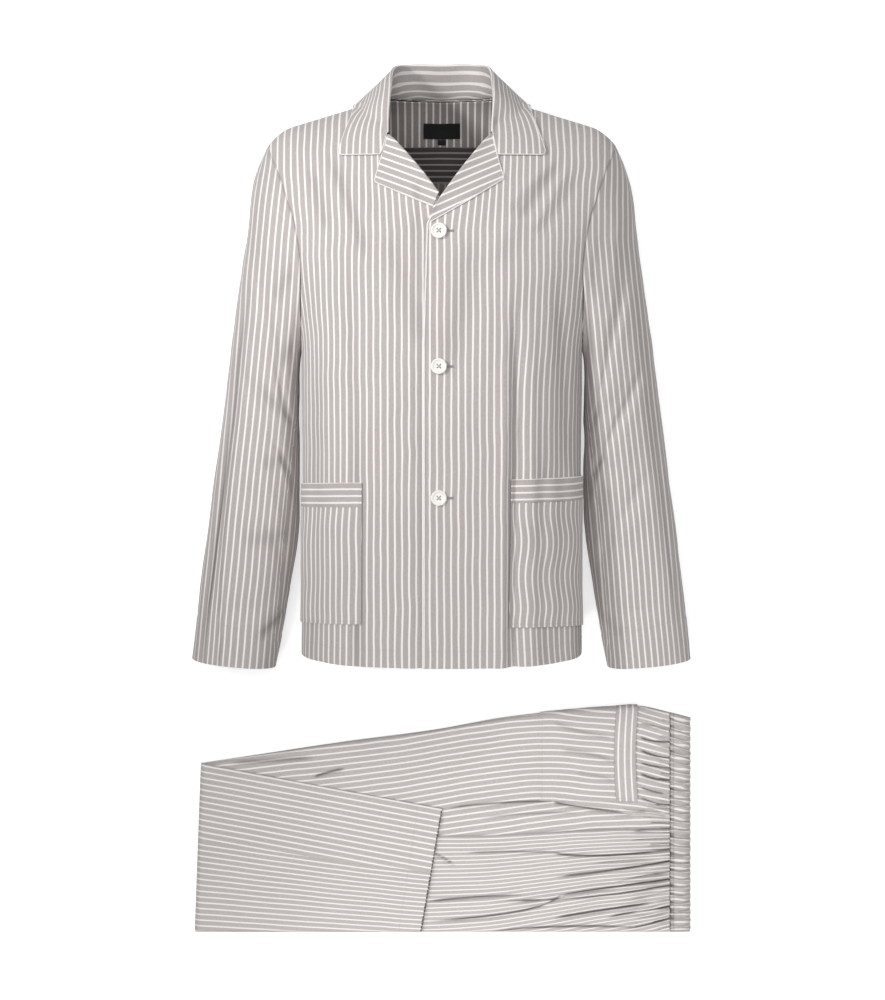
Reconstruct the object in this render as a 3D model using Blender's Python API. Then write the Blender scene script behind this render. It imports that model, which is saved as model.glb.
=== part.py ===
"""Pyjama set: a hollow, filled-out jacket lying on its back, and trousers folded flat below it.

Metres, +X to the garment's left as it is worn, +Y towards the collar, +Z up from the surface
that both garments lie on. The origin is at the bottom centre of the whole set's box.
"""
import math

import bpy
import numpy as np

# Cloth
CLOTH = 0.0015          # wall of one cut piece
GAP = 0.0003            # between neighbouring pieces
CENTRE_X = -0.0010      # the jacket's centre line
SHIFT_Y = 0.0046        # brings the middle of the set to the origin

# Jacket body
HALF_WIDTH = 0.1873     # side seam, from the centre line
SEAM_Z = 0.105          # height of the side and shoulder seams
FRONT_DEPTH = 0.120     # from the seams up to the front at the chest
HEM_DEPTH = 0.105       # the same at the hem
BACK_DEPTH = 0.112      # from the seams down to the back, before the surface flattens it
POWER = {"front": 2.5, "back": 3.0}      # how square each section is
HEM_Y = -0.2012         # hem at the side seams
HEM_TILT = 0.17         # how much lower the hem is for each metre of height
HEM_FADE = 0.35         # share of the length over which that tilt fades out
UNDERARM_Y = 0.205
NECK_X, NECK_Y = 0.0700, 0.5400          # where the shoulder seam meets the neck
SHOULDER_X, SHOULDER_Y = 0.2338, 0.4740  # where it meets the sleeve
SHOULDER_SLOPE, CENTRE_RISE = 0.305, 0.0214
SHOULDER_DROP, SHOULDER_DROP_X = 0.016, 0.200
BACK_NECK_Y = 0.5450
LAP, LAP_TOP = 0.0255, 0.0205            # how far each front goes past the centre line, and at its top
LAP_DROP = 0.0034       # how far the lower front sinks under the upper one
LAP_FADE_X = (0.0265, 0.0395)            # from the centre line, where it comes up again
LAP_FADE_Y = (0.400, 0.425)
FULL = {"front": (0.200, 1.8), "back": (0.130, 2.0)}  # reach and power of the shoulder curve
UNDERARM_T, YOKE_T = 0.50, 0.86          # shares of a panel's length at the underarm and yoke
LAP_TOP_T, BREAK_T, ROLL_TOP_T = 0.735, 0.76, 0.895    # where the lap ends and a lapel rolls

# The body's width as if it had no armholes, the armhole's edges, and a front's inner edge
BODY_WIDTH = {"y": (-0.25, 0.15, 0.205, 0.313, 0.360, 0.410, 0.474, 0.560),
              "half": (0.1873, 0.1873, 0.1885, 0.215, 0.232, 0.252, 0.262, 0.262)}
ARMHOLE = {"y": (0.205, 0.260, 0.313, 0.356, 0.411, 0.450, 0.474),
           "front": (0.1873, 0.1860, 0.1852, 0.1914, 0.2097, 0.2255, 0.2338),
           "back": (0.1873, 0.1935, 0.1985, 0.2060, 0.2190, 0.2285, 0.2338)}
LAP_TOP_Y, BREAK_Y, ROLL_TOP_Y = 0.3550, 0.3670, 0.4810
ROLL_TOP_X = {1: 0.0685, -1: 0.0735}     # a lapel's inner top corner, by side
BREAK_X = -0.0125

# Soft creases: from, to, half breadth and height (below 0 for a trough), in the jacket's plan
CREASE_IN, CREASE_OUT = (-0.05, 0.25), (0.85, 1.10)  # shares of its length where one swells and ends
FRONT_CREASES = {
    "x0": (0.097, 0.083, 0.160, -0.170, 0.150, 0.060, -0.150, -0.060, -0.120),
    "y0": (0.250, 0.170, 0.330, 0.260, 0.440, 0.330, 0.430, 0.300, 0.010),
    "x1": (0.094, 0.074, 0.156, -0.160, 0.060, 0.020, -0.060, -0.030, -0.060),
    "y1": (-0.250, -0.250, -0.250, -0.250, 0.310, 0.160, 0.330, 0.100, -0.250),
    "breadth": (0.0080, 0.010, 0.012, 0.012, 0.018, 0.020, 0.018, 0.022, 0.022),
    "height": (-0.0065, 0.0030, -0.0040, -0.0030, 0.0030, -0.0025, 0.0030, -0.0020, -0.0020)}

# Sleeve: its outer and inner edges and the heights of its two faces, at shares of its length
SLEEVE = {"share": (0.0, 0.08, 0.20, 0.35, 0.50, 0.65, 0.80, 0.92, 1.0),
          "outer_x": (0.2338, 0.2520, 0.2640, 0.2800, 0.2935, 0.3085, 0.3230, 0.3338, 0.3404),
          "outer_y": (0.4740, 0.4300, 0.3520, 0.2500, 0.1450, 0.0400, -0.0650, -0.1520, -0.2155),
          "inner_x": (0.1873, 0.1912, 0.1922, 0.1926, 0.1930, 0.1955, 0.2075, 0.2180, 0.2275),
          "inner_y": (0.2050, 0.1800, 0.1350, 0.0750, 0.0200, -0.0450, -0.1200, -0.1800, -0.2268),
          "front_z": (0.178, 0.166, 0.152, 0.136, 0.120, 0.108, 0.097, 0.089, 0.084),
          "back_z": (0.020, 0.012, 0.002, -0.004, -0.005, -0.005, -0.005, -0.005, -0.004)}
SLEEVE_POWER = 2.25
SLEEVE_MERGE = 0.45     # share over which the sleeve leaves the armhole's own shape
SLEEVE_CLEAR = 0.0030   # between the sleeve and the body's side
SLEEVE_RIDGE = (1.3, 0.6)                # turns from its outer edge over which the seam is a ridge
CUFF_TILT = 0.11
SLEEVE_CREASES = {      # along the sleeve (share) and round it (turn), as plan x and y above
    "x0": (0.20, 0.40, 0.46, 0.62, 0.86), "y0": (0.15, 0.12, 0.30, 0.18, 0.40),
    "x1": (0.34, 0.50, 0.60, 0.74, 0.90), "y1": (0.40, 0.42, 0.44, 0.40, 0.20),
    "breadth": (0.025, 0.022, 0.022, 0.022, 0.020),
    "height": (-0.0035, -0.0035, 0.0025, -0.0030, -0.0025)}

# Collar, from the centre back (0) to the front end (1): the crest of its fold and the outer
# edge of its leaf. rise points up out of the neck at the fold and inward into the neck hole.
NECK_SHARE = 0.42       # share at which the shoulder seam meets it
COLLAR = {
    "share": (0.0, 0.22, 0.42, 0.60, 0.80, 1.0),
    "crest": ((0, 0.5865, 0.0800), (0.046, 0.5850, 0.0860), (0.0650, 0.5740, 0.1200),
              (0.0685, 0.5450, 0.1520), (0.0700, 0.5130, 0.1700), (0.0700, 0.4810, 0.1830)),
    "edge": ((0, 0.5400, 0.0120), (0.075, 0.5370, 0.0200), (0.1140, 0.5340, 0.0900),
             (0.1190, 0.5120, 0.1300), (0.1280, 0.4840, 0.1500), (0.1365, 0.4545, 0.1600)),
    "rise": ((0, 0.86, 0.50), (0, 0.86, 0.50), (0, 0.80, 0.60),
             (-0.50, 0.70, 0.50), (-0.92, 0.35, 0.15), (-1, 0, 0)),
    "inward": ((0, -0.50, 0.86), (-0.50, -0.35, 0.80), (-1, 0, 0),
               (-0.85, -0.50, 0), (-0.35, -0.50, -0.80), (0, 0, -1))}
NOTCH = {1: (0.0720, 0.4500), -1: (0.0790, 0.4500)}       # where collar and lapel part
NOTCH_SHARE = 0.16      # of the leaf's depth, at its front end
NOTCH_FADE, ROLL_FADE = (0.70, 1.0), (0.6, 1.0)  # shares over which it bends there and meets the roll
LAPEL = {               # the lapel's outline, from the notch by its point to the front edge
    1: ((0.0716, 0.4490), (0.0811, 0.4170), (0.0369, 0.3884), (-0.0139, 0.3593)),
    -1: ((0.0779, 0.4490), (0.0880, 0.4130), (0.0480, 0.3945), (0.0110, 0.3795))}
LAPEL_STOPS = (0, 0.26, 0.70, 1.0)       # shares of the roll opposite those corners
LAPEL_END_T = {1: 0.765, -1: 0.788}      # where the roll of each lapel ends
LAPEL_TOP_T = ROLL_TOP_T - 0.004         # and where it starts, clear of the collar
LAPEL_TURN = 0.15       # share of the roll over which it turns from the neck's line to its own
FOLD_RADIUS = 0.0024
STAND_END = 0.0040      # the stand's height at its front end
LEAF_CLOTH = 0.0013
LEAF_LIFT = {"collar": 0.0038, "lapel": 0.0022}  # top of a leaf above the front under it
SETTLE_REACH = 0.016    # how far from its fold a leaf takes to settle on to the front
RIDGE_CLEAR, RIDGE_HEIGHT = 0.0040, 0.030        # how the leaf passes over the shoulder seam

# Pockets on the fronts, in plan from the centre line: inner edge at the mouth and foot, height
# of the mouth at the inner and outer end, depth of the band, foot, and share of the outer edge
POCKET = {1: {"inner": 0.0905, "foot_inner": 0.0880, "top": 0.0265, "top_out": 0.0330,
              "band": 0.0305, "foot": -0.1660, "outer": 0.955},
          -1: {"inner": 0.1040, "foot_inner": 0.1050, "top": 0.0225, "top_out": 0.0225,
               "band": 0.0315, "foot": -0.1620, "outer": 0.965}}
PATCH_CLOTH, BAND_CLOTH = 0.0010, 0.0014
POCKET_LIFT = 0.0011    # of a pocket's inner face above the front

# Buttons
BUTTON_SIDES, HOLE_SIDES = 16, 6
BUTTON_X = -0.0038      # from the centre line
BUTTON_Y = {"button_top": 0.3475, "button_middle": 0.1725, "button_bottom": 0.0026}
BUTTON_RADIUS, BUTTON_THICK = 0.0103, 0.0030
BUTTON_RIM, BUTTON_DISH, BUTTON_BEVEL = 0.0022, 0.0008, 0.0009
HOLE_RADIUS, HOLE_SPREAD = 0.0010, 0.0021

# Neck facing: half its breadth. Label and size tab: x and y from and to, in plan
FACING_HALF = 0.075
LABEL = {"neck_label": (-0.0262, 0.0262, 0.5006, 0.5205),
         "size_tab": (-0.0060, 0.0060, 0.4925, 0.5003)}
FACING_CLOTH, LABEL_CLOTH = 0.0010, 0.0008
FACING_GAP, LABEL_GAP = 0.0015, 0.0012   # air behind each, which its flat faces need on a curve

# Trousers: outline of the folded leg, its side seam and its heights
LEG_TOP = {"x": (-0.3340, -0.2500, -0.1410, -0.0030, 0.0830, 0.1570, 0.2400, 0.2700, 0.3100, 0.3440),
           "y": (-0.3640, -0.3515, -0.3350, -0.3165, -0.3010, -0.2925, -0.2860, -0.2845,
                 -0.2925, -0.3010)}
LEG_SEAM = {"x": (-0.3430, -0.0080, 0.0620, 0.1410, 0.2150, 0.3140),
            "y": (-0.4680, -0.4640, -0.4640, -0.4595, -0.4555, -0.4540)}
LEG_FOOT_Y = -0.5980
WAIST_X, WAIST_TOP_X = 0.3140, 0.3436
UNDER_HEIGHT = 0.0062
# The hidden layers' outline at the waist and at the knee, between its long edges, and the steps
# up its side: how far in from the outline, and height
UNDER_RIGHT = ((0.3270, -0.2977), (0.3350, -0.3046), (0.3390, -0.3200), (0.3390, -0.4500),
               (0.3390, -0.5800), (0.3300, -0.5970))
UNDER_LEFT = ((-0.3300, -0.5400), (-0.3280, -0.4600), (-0.3250, -0.4000))
UNDER_PROFILE = ((0.0022, 0.0), (0.0010, 0.0006), (0.0010, 0.0010), (0.0024, 0.0013),
                 (0.0012, 0.0016), (0.0012, 0.0020), (0.0036, 0.0025), (0.0050, UNDER_HEIGHT))
TOP_CLOTH = 0.0018
LEG_SLACK = 0.0020      # air between the hidden layers and the top one
LEG_LEVEL = UNDER_HEIGHT + GAP + TOP_CLOTH + LEG_SLACK
LEG_CURL = 0.0060       # how far in from a folded edge the top layer starts to turn down
CURL_FOOT_Z = 0.0036
GATHER_REACH = 0.180
GATHERS = {"trousers_front": (7, 0.0022), "trousers_back": (13, 0.0024)}   # waves and height
WAIST_GATHERS, WAIST_WAVE, WAIST_RISE = 27, 0.0014, 0.0030
WAIST_RUFFLE = 0.0006   # how far each gather draws the top edge in
WAIST_ARCH, WAIST_ROUND = 0.90, 0.30     # shares of the breadth that arch up and round off
LEG_CREASES = {
    "x0": (0.000, 0.140, 0.060, 0.130, 0.000, -0.180),
    "y0": (-0.4270, -0.4200, -0.5000, -0.5430, -0.5850, -0.3830),
    "x1": (0.150, 0.305, 0.305, 0.305, 0.250, -0.140),
    "y1": (-0.4180, -0.4360, -0.4950, -0.5080, -0.5520, -0.3720),
    "breadth": (0.0045, 0.0050, 0.0060, 0.0060, 0.0050, 0.0060),
    "height": (-0.0010, -0.0014, -0.0016, -0.0018, -0.0016, -0.0010)}
# The lower leg folded back on top: its hem, upper edge and seam
FOLDED = {"left_top": (-0.3345, -0.3635), "left_foot": (-0.3430, -0.5980),
          "hem_top": (-0.0005, -0.4265), "hem_foot": (-0.0300, -0.5980),
          "seam_left": (-0.3385, -0.4690), "seam_hem": (-0.0155, -0.5145)}
FOLDED_CLOTH, FOLDED_TOP = 0.0026, 0.0138
FOLDED_LENGTH = 0.320
FOLDED_INSET = 0.0060   # how far in the leg below stops at the foot, to clear the folded edge
FOLDED_FADE = (-0.026, -0.008)           # x over which that ends, past the folded hem
FOLD_CURL, FOLD_SWELL, SWELL_REACH = 0.010, 0.0020, 0.030
FOLD_FOOT_Z = 0.0032
# Patch and band: left and right edges, and how far the seam between them bows to the left
LEG_POCKET = {"trousers_pocket": (0.1345, 0.2396), "trousers_pocket_band": (0.2400, 0.2695)}
LEG_POCKET_FOOT, LEG_POCKET_BOW = -0.4160, 0.0030

GREY, WHITE, BLACK = (0.52, 0.48, 0.46), (0.93, 0.90, 0.86), (0.02, 0.02, 0.02)

# Where each surface has its points: shares up a panel (T), across a front (U), down a sleeve,
# round the collar, and so on
BODY_T = np.linspace(0, UNDERARM_T, 7)[:-1]
ARM_T = np.array([UNDERARM_T, 0.575, 0.650, LAP_TOP_T, BREAK_T, 0.81])
YOKE_TS = np.array([YOKE_T, ROLL_TOP_T, 0.927, 0.954, 0.976, 0.992, 1])
FACING_TS = YOKE_TS[2:6]                 # the facing's rows are the yoke's own
PANEL_T = np.concatenate([BODY_T, ARM_T, YOKE_TS])
FRONT_U = np.array([0, 0.09, 0.20, 0.31, 0.375, 0.415, 0.455, 0.52, 0.62, 0.72, 0.82, 0.91, 1])
NECK_STEPS = 4
COLUMN_APART = 0.02     # least distance between a pocket's edge and the front's next column
SLEEVE_SHARES = np.array([0, 0.03, 0.08, 0.14, 0.21, 0.29, 0.37, 0.45, 0.53, 0.61, 0.70, 0.80, 0.90, 1])
ARC = np.radians([0, 45, 90, 135, 180])  # round the fold of the collar and of a lapel
COLLAR_SHARES = np.array([0, 0.11, 0.22, 0.33, NECK_SHARE, 0.47, 0.52, 0.58, 0.66, 0.77, 0.88, 1])
STAND_STEPS = (0, 0.5)
LEAF_STEPS = np.array([0.16, 0.36, 0.58, 0.80, 1])
LAPEL_ROLL = np.array([0, 0.12, 0.26, 0.42, 0.58, 0.74, 0.88, 1])
LAPEL_STEPS = np.array([0.22, 0.48, 0.74, 1])
CURL_TURNS = np.radians([0, 30, 60, 90])  # round the trousers' folded edges
LEG_COLUMNS = np.array([-0.322, -0.20, -0.10, -0.026, -0.008, 0.08, 0.155, 0.205, 0.245, 0.280, 0.3137])
WAIST_COLUMNS = np.array([0, 0.40, 0.78, 0.94, 1])
WAVE_STEPS = 3          # rows to each gather
LABEL_GRID, PATCH_GRID = (5, 3), (5, 7)  # points across and up
POCKET_ROWS, BAND_ROWS = 5, 3
FOLDED_ROWS, FOLDED_COLUMNS = 4, 7


# --- small tools -----------------------------------------------------------------------------

def along(table, key, column, at):
    """A smooth curve through a table's named column, by the cubic Hermite rule."""
    knots = np.asarray(table[key], float)
    values = np.asarray(table[column], float)
    slopes = np.gradient(values, knots, axis=0)
    at = np.clip(np.asarray(at, float), knots[0], knots[-1])
    k = np.clip(np.searchsorted(knots, at, side="right") - 1, 0, len(knots) - 2)
    step = knots[k + 1] - knots[k]
    s = (at - knots[k]) / step
    if values.ndim > 1:
        s, step = s[..., None], step[..., None]
    return ((2 * s**3 - 3 * s**2 + 1) * values[k] + (s**3 - 2 * s**2 + s) * step * slopes[k]
            + (3 * s**2 - 2 * s**3) * values[k + 1] + (s**3 - s**2) * step * slopes[k + 1])


def ease(low, high, at):
    s = np.clip((at - low) / (high - low), 0, 1)
    return s * s * (3 - 2 * s)


def unit(vectors):
    return vectors / np.linalg.norm(vectors, axis=-1, keepdims=True)


def creased(table, x, y):
    """The height that a table of soft creases adds at a place."""
    total = np.zeros(np.broadcast(x, y).shape)
    columns = (table[name] for name in ("x0", "y0", "x1", "y1", "breadth", "height"))
    for x0, y0, x1, y1, breadth, height in zip(*columns):
        run = math.hypot(x1 - x0, y1 - y0)
        share = ((x - x0) * (x1 - x0) + (y - y0) * (y1 - y0)) / run**2
        off = ((x - x0) * (y1 - y0) - (y - y0) * (x1 - x0)) / run
        fade = ease(*CREASE_IN, share) * (1 - ease(*CREASE_OUT, share))
        total = total + height * fade * np.exp(-(off / breadth) ** 2)
    return total


# --- the jacket's body -----------------------------------------------------------------------

def body_width(y):
    return along(BODY_WIDTH, "y", "half", y)


def shoulder_y(x):
    """The shoulder line in plan, carried on to the centre, where it levels off."""
    past = np.clip(x - SHOULDER_DROP_X, 0, None) / (SHOULDER_X - SHOULDER_DROP_X)
    line = NECK_Y - SHOULDER_SLOPE * (x - NECK_X) - SHOULDER_DROP * past**2
    s = np.clip(x / NECK_X, 0, 1)
    level = NECK_Y + CENTRE_RISE * (1 - 3 * s**2 + 2 * s**3)
    return np.where(x < NECK_X, level - SHOULDER_SLOPE * NECK_X * (s**3 - s**2), line)


def back_top_y(x):
    """The back's upper edge in plan: the neck, then the shoulder line."""
    neck = BACK_NECK_Y - (BACK_NECK_Y - NECK_Y) * (x / NECK_X) ** 2
    return np.where(x < NECK_X, neck, shoulder_y(x))


def fullness(face, x, y):
    """0 on the shoulder line, rising to 1 where the body reaches its full depth."""
    reach, power = FULL[face]
    s = np.clip((shoulder_y(np.abs(x)) - y) / reach, 0, 1)
    return (1 - (1 - s) ** power) ** (1 / power)


def front_z(side, x, y):
    """Height of a front at a place in plan, x from the centre line towards that side."""
    squareness = (1 - np.clip(np.abs(x) / body_width(y), 0, 1) ** POWER["front"])
    squareness = squareness ** (1 / POWER["front"])
    depth = HEM_DEPTH + (FRONT_DEPTH - HEM_DEPTH) * ease(-0.15, 0.25, y)
    full = fullness("front", x, y)
    folds = creased(FRONT_CREASES, side * x, y) * ease(0.0, 0.35, squareness) * ease(0, 0.5, full)
    z = SEAM_Z + depth * squareness * full + folds
    if side < 0:
        z = z - LAP_DROP * (1 - ease(*LAP_FADE_X, x)) * (1 - ease(*LAP_FADE_Y, y))
    return z


def back_z(x, y):
    squareness = (1 - np.clip(np.abs(x) / body_width(y), 0, 1) ** POWER["back"])
    squareness = squareness ** (1 / POWER["back"])
    return np.clip(SEAM_Z - BACK_DEPTH * squareness * fullness("back", x, y), 0, None)


def front_inner(side, t):
    """A front's inner edge in plan: the front edge, the roll of the lapel, then the neck."""
    stops = (0, UNDERARM_T, LAP_TOP_T, BREAK_T, ROLL_TOP_T, 1)
    x = np.interp(t, stops, (-LAP, -LAP, -LAP_TOP, BREAK_X, ROLL_TOP_X[side], NECK_X))
    y = np.interp(t, stops, (HEM_Y, UNDERARM_Y, LAP_TOP_Y, BREAK_Y, ROLL_TOP_Y, NECK_Y))
    return x, y


def outer_edge(face, t):
    """The side seam, then the armhole."""
    level = {"front": 0.402, "back": 0.425}[face]
    y = np.interp(t, (0, UNDERARM_T, YOKE_T, 1), (HEM_Y, UNDERARM_Y, level, SHOULDER_Y))
    return np.where(t < UNDERARM_T, HALF_WIDTH, along(ARMHOLE, "y", face, y)), y


def panel_plan(face, inner, top_y, u, t):
    """Plan place on a panel: u from its inner edge (0) to its outer (1), t from the hem (0) to
    the shoulder (1). Equal steps of u turn round the body's section by equal angles."""
    power = POWER[face]
    x_in, y_in = inner(t)
    x_out, y_out = outer_edge(face, t)
    turns = [np.sign(x) * np.arcsin(np.clip(np.abs(x) / body_width(y), 0, 1) ** (power / 2))
             for x, y in ((x_in, y_in), (x_out, y_out))]
    turn = turns[0] + (turns[1] - turns[0]) * u
    y_row = y_in + (y_out - y_in) * u
    y_end = inner(np.ones_like(t))[1] * (1 - u) + SHOULDER_Y * u
    y = y_row
    for _ in range(6):
        x = np.sign(turn) * body_width(y) * np.abs(np.sin(turn)) ** (2 / power)
        y = y_row + (top_y(np.abs(x)) - y_end) * t**6
    return x, y


def placed(side, x, y, z, t):
    """From the centre line's own plan to the set's, with the hem tilted."""
    y = y - HEM_TILT * (z - SEAM_Z) * (1 - ease(0, HEM_FADE, t))
    return np.stack([CENTRE_X + side * x, y + SHIFT_Y, z], axis=-1)


def front_point(side, u, t):
    """A front's outer face. Side 1 is the wearer's left, which laps over the other."""
    u, t = np.broadcast_arrays(np.asarray(u, float), np.asarray(t, float))
    x, y = panel_plan("front", lambda s: front_inner(side, s), shoulder_y, u, t)
    return placed(side, x, y, front_z(side, x, y), t)


def back_inner(t):
    stops = (0, UNDERARM_T, YOKE_T, 1)
    return 0 * t, np.interp(t, stops, (HEM_Y, UNDERARM_Y, 0.4385, BACK_NECK_Y))


def back_point(u, t):
    """The back's outer face, from the wearer's right side seam (u -1) to the left (u 1)."""
    u, t = np.broadcast_arrays(np.asarray(u, float), np.asarray(t, float))
    x, y = panel_plan("back", back_inner, back_top_y, np.abs(u), t)
    return placed(np.sign(u), x, y, back_z(x, y), t)


# --- solids from grids -----------------------------------------------------------------------

def normals_of(surface, u, t, u_low=0.0, step=0.0006):
    """Unit normals of a surface given as a function of u and t, up to 1 each."""
    du = surface(np.minimum(u + step, 1), t) - surface(np.maximum(u - step, u_low), t)
    dt = surface(u, np.minimum(t + step, 1)) - surface(u, np.maximum(t - step, 0))
    return unit(np.cross(du, dt))


def grid_normals(points, ring=False):
    """Unit normals of a grid of points, from its neighbours."""
    down = np.gradient(points, axis=0)
    if ring:
        across = np.roll(points, -1, axis=1) - np.roll(points, 1, axis=1)
    else:
        across = np.gradient(points, axis=1)
    return unit(np.cross(across, down))


def trimmed(points, edges):
    """A grid whose named edges are drawn back by half a seam gap."""
    points = points.copy()
    ends = {"low_t": (0, 1, 0), "high_t": (-1, -2, 0), "low_u": (0, 1, 1), "high_u": (-1, -2, 1)}
    for edge in edges:
        at, inside, axis = ends[edge]
        rows = np.moveaxis(points, axis, 0)
        rows[at] += unit(rows[inside] - rows[at]) * GAP / 2
    return points


def wall_faces(rows, columns, ring):
    """Quads of a closed wall whose outer grid comes first and inner grid second."""
    last = columns if ring else columns - 1
    count = rows * columns

    def at(layer, i, j):
        return layer * count + i * columns + j % columns

    faces = []
    for i in range(rows - 1):
        for j in range(last):
            quad = [at(0, i, j), at(0, i, j + 1), at(0, i + 1, j + 1), at(0, i + 1, j)]
            faces += [quad, [v + count for v in reversed(quad)]]
    end = rows - 1
    for j in range(last):
        faces.append([at(1, 0, j), at(1, 0, j + 1), at(0, 0, j + 1), at(0, 0, j)])
        faces.append([at(0, end, j), at(0, end, j + 1), at(1, end, j + 1), at(1, end, j)])
    if not ring:
        for i in range(rows - 1):
            faces.append([at(0, i, 0), at(0, i + 1, 0), at(1, i + 1, 0), at(1, i, 0)])
            faces.append([at(1, i, last), at(1, i + 1, last), at(0, i + 1, last), at(0, i, last)])
    return faces


def volume_of(points, faces):
    total = 0.0
    for face in faces:
        corners = points[face]
        for k in range(1, len(face) - 1):
            total += np.dot(corners[0], np.cross(corners[k], corners[k + 1]))
    return total / 6


def material(name, colour):
    """Matt cotton, or the smoother finish of the white buttons."""
    made = bpy.data.materials.new(name)
    made.use_nodes = True
    shader = made.node_tree.nodes["Principled BSDF"]
    shader.inputs["Base Color"].default_value = (*colour, 1)
    shader.inputs["Roughness"].default_value = 0.35 if colour == WHITE else 0.85
    shader.inputs["Metallic"].default_value = 0.0
    return made


def add_solid(name, points, faces, colour=GREY):
    points = np.asarray(points, float).reshape(-1, 3)
    if volume_of(points, faces) < 0:
        faces = [face[::-1] for face in faces]
    mesh = bpy.data.meshes.new(name)
    mesh.from_pydata(points.tolist(), [], faces)
    mesh.update()
    mesh.shade_smooth()
    mesh.set_sharp_from_angle(angle=math.radians(40))
    mesh.materials.append(material(name, colour))
    solid = bpy.data.objects.new(name, mesh)
    bpy.context.scene.collection.objects.link(solid)
    return solid


def add_wall(name, outer, inner, ring=False, colour=GREY):
    """A closed wall between an outer and an inner grid of points."""
    rows, columns = outer.shape[:2]
    points = np.concatenate([outer.reshape(-1, 3), inner.reshape(-1, 3)])
    return add_solid(name, points, wall_faces(rows, columns, ring), colour)


# --- jacket: fronts, back and yoke -----------------------------------------------------------

def seam_normals(own, other, share):
    """Offset direction where two pieces meet at a ridge: the mitre between them, faded by share."""
    mixed = unit(own + other * share[..., None])
    return mixed / np.maximum(np.sum(mixed * own, axis=-1, keepdims=True), 0.6)


def armhole_ring(side):
    """Points and body normals round an armhole: down its front from the shoulder, up its back."""
    t = PANEL_T[PANEL_T >= UNDERARM_T]
    ones = np.ones_like(t)
    front = front_point(side, ones, t)
    back = back_point(side * ones, t)
    front_n = normals_of(lambda u, s: front_point(side, u, s), ones, t) * side
    back_n = normals_of(lambda u, s: back_point(side * u, s), ones, t) * -side
    down, up = slice(None, None, -1), slice(1, -1)
    points = np.concatenate([front[down], back[up]])
    return points, np.concatenate([front_n[down], back_n[up]]), len(t)


def sleeve_turns(ring, front_count):
    """The angle of each point round the sleeve, by its share of the armhole's length."""
    steps = np.linalg.norm(np.diff(np.concatenate([ring, ring[:1]]), axis=0), axis=1)
    length = np.concatenate([[0], np.cumsum(steps)])
    half = length[front_count - 1]
    front = length[:front_count] / half * math.pi
    back = math.pi + (length[front_count:-1] - half) / (length[-1] - half) * math.pi
    return np.concatenate([front, back])


def sleeve_section(side, share, turn):
    """The sleeve's plain section: turn 0 is its outer edge, a quarter turn its front."""
    outer = np.stack([along(SLEEVE, "share", "outer_x", share),
                      along(SLEEVE, "share", "outer_y", share)], axis=-1)
    inner = np.stack([along(SLEEVE, "share", "inner_x", share),
                      along(SLEEVE, "share", "inner_y", share)], axis=-1)
    high = along(SLEEVE, "share", "front_z", share)
    low = along(SLEEVE, "share", "back_z", share)
    c, s = np.cos(turn), np.sin(turn)
    across = np.sign(c) * np.abs(c) ** (2 / SLEEVE_POWER)
    rise = np.sign(s) * np.abs(s) ** (2 / SLEEVE_POWER)
    plan = (outer + inner) / 2 + (outer - inner) / 2 * across[..., None]
    middle = (high + low) / 2
    z = middle + (high - low) / 2 * rise
    z = z + creased(SLEEVE_CREASES, share, turn / (2 * math.pi) + 0 * share)
    y = plan[..., 1] - CUFF_TILT * (z - middle) * ease(0.7, 1.0, share)
    return np.stack([CENTRE_X + side * plan[..., 0], y + SHIFT_Y, z], axis=-1)


def clear_of_body(side, points):
    """Keeps a sleeve outside the body's side, and on or above the surface."""
    x, y, z = (side * (points[..., 0] - CENTRE_X), points[..., 1] - SHIFT_Y, points[..., 2])
    above = z > SEAM_Z
    depth = np.where(above, HEM_DEPTH, BACK_DEPTH)
    power = np.where(above, POWER["front"], POWER["back"])
    share = np.clip(np.abs(z - SEAM_Z) / depth, 0, 1)
    limit = HALF_WIDTH * (1 - share**power) ** (1 / power) + SLEEVE_CLEAR
    x = np.where(y < UNDERARM_Y - 0.012, np.maximum(x, limit), x)
    return np.stack([CENTRE_X + side * x, points[..., 1], np.maximum(z, 0)], axis=-1)


def sleeve_points(side, shares, ring, turns):
    """The sleeve's outer face: it starts as the armhole's own ring and becomes a plain tube."""
    share, turn = np.meshgrid(shares, turns, indexing="ij")
    left_over = np.clip(1 - share / SLEEVE_MERGE, 0, 1) ** 2
    extra = ring - sleeve_section(side, np.zeros(len(turns)), turns)
    points = sleeve_section(side, share, turn) + extra * left_over[..., None]
    points = clear_of_body(side, points)
    points[0] = ring
    return points


def build_sleeve(name, side):
    ring, body_normals, front_count = armhole_ring(side)
    turns = sleeve_turns(ring, front_count)
    points = sleeve_points(side, SLEEVE_SHARES, ring, turns)
    normals = grid_normals(points, ring=True)
    away = points - points.mean(axis=1, keepdims=True)
    if np.sum(normals * away) < 0:
        normals = -normals
    ridge = ease(*SLEEVE_RIDGE, np.minimum(turns, 2 * math.pi - turns))
    mitre = seam_normals(normals[0], body_normals, ridge)
    edge = seam_normals(body_normals, normals[0], ridge)
    points = trimmed(points, ["low_t"])
    inner = points - normals * CLOTH
    inner[0] = points[0] - mitre * CLOTH
    inner[..., 2] = np.maximum(inner[..., 2], CLOTH)
    add_wall(name, points, inner, ring=True)
    return edge[:front_count][::-1], np.concatenate([edge[front_count - 1:], edge[:1]])


def build_front(name, side, armhole_normals):
    u, t = np.meshgrid(FRONT_U, PANEL_T)
    points = front_point(side, u, t)
    normals = normals_of(lambda a, b: front_point(side, a, b), u, t) * side
    normals[PANEL_T >= UNDERARM_T, -1] = armhole_normals
    points = trimmed(points, ["high_u", "high_t"])
    add_wall(name, points, points - normals * CLOTH)


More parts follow.
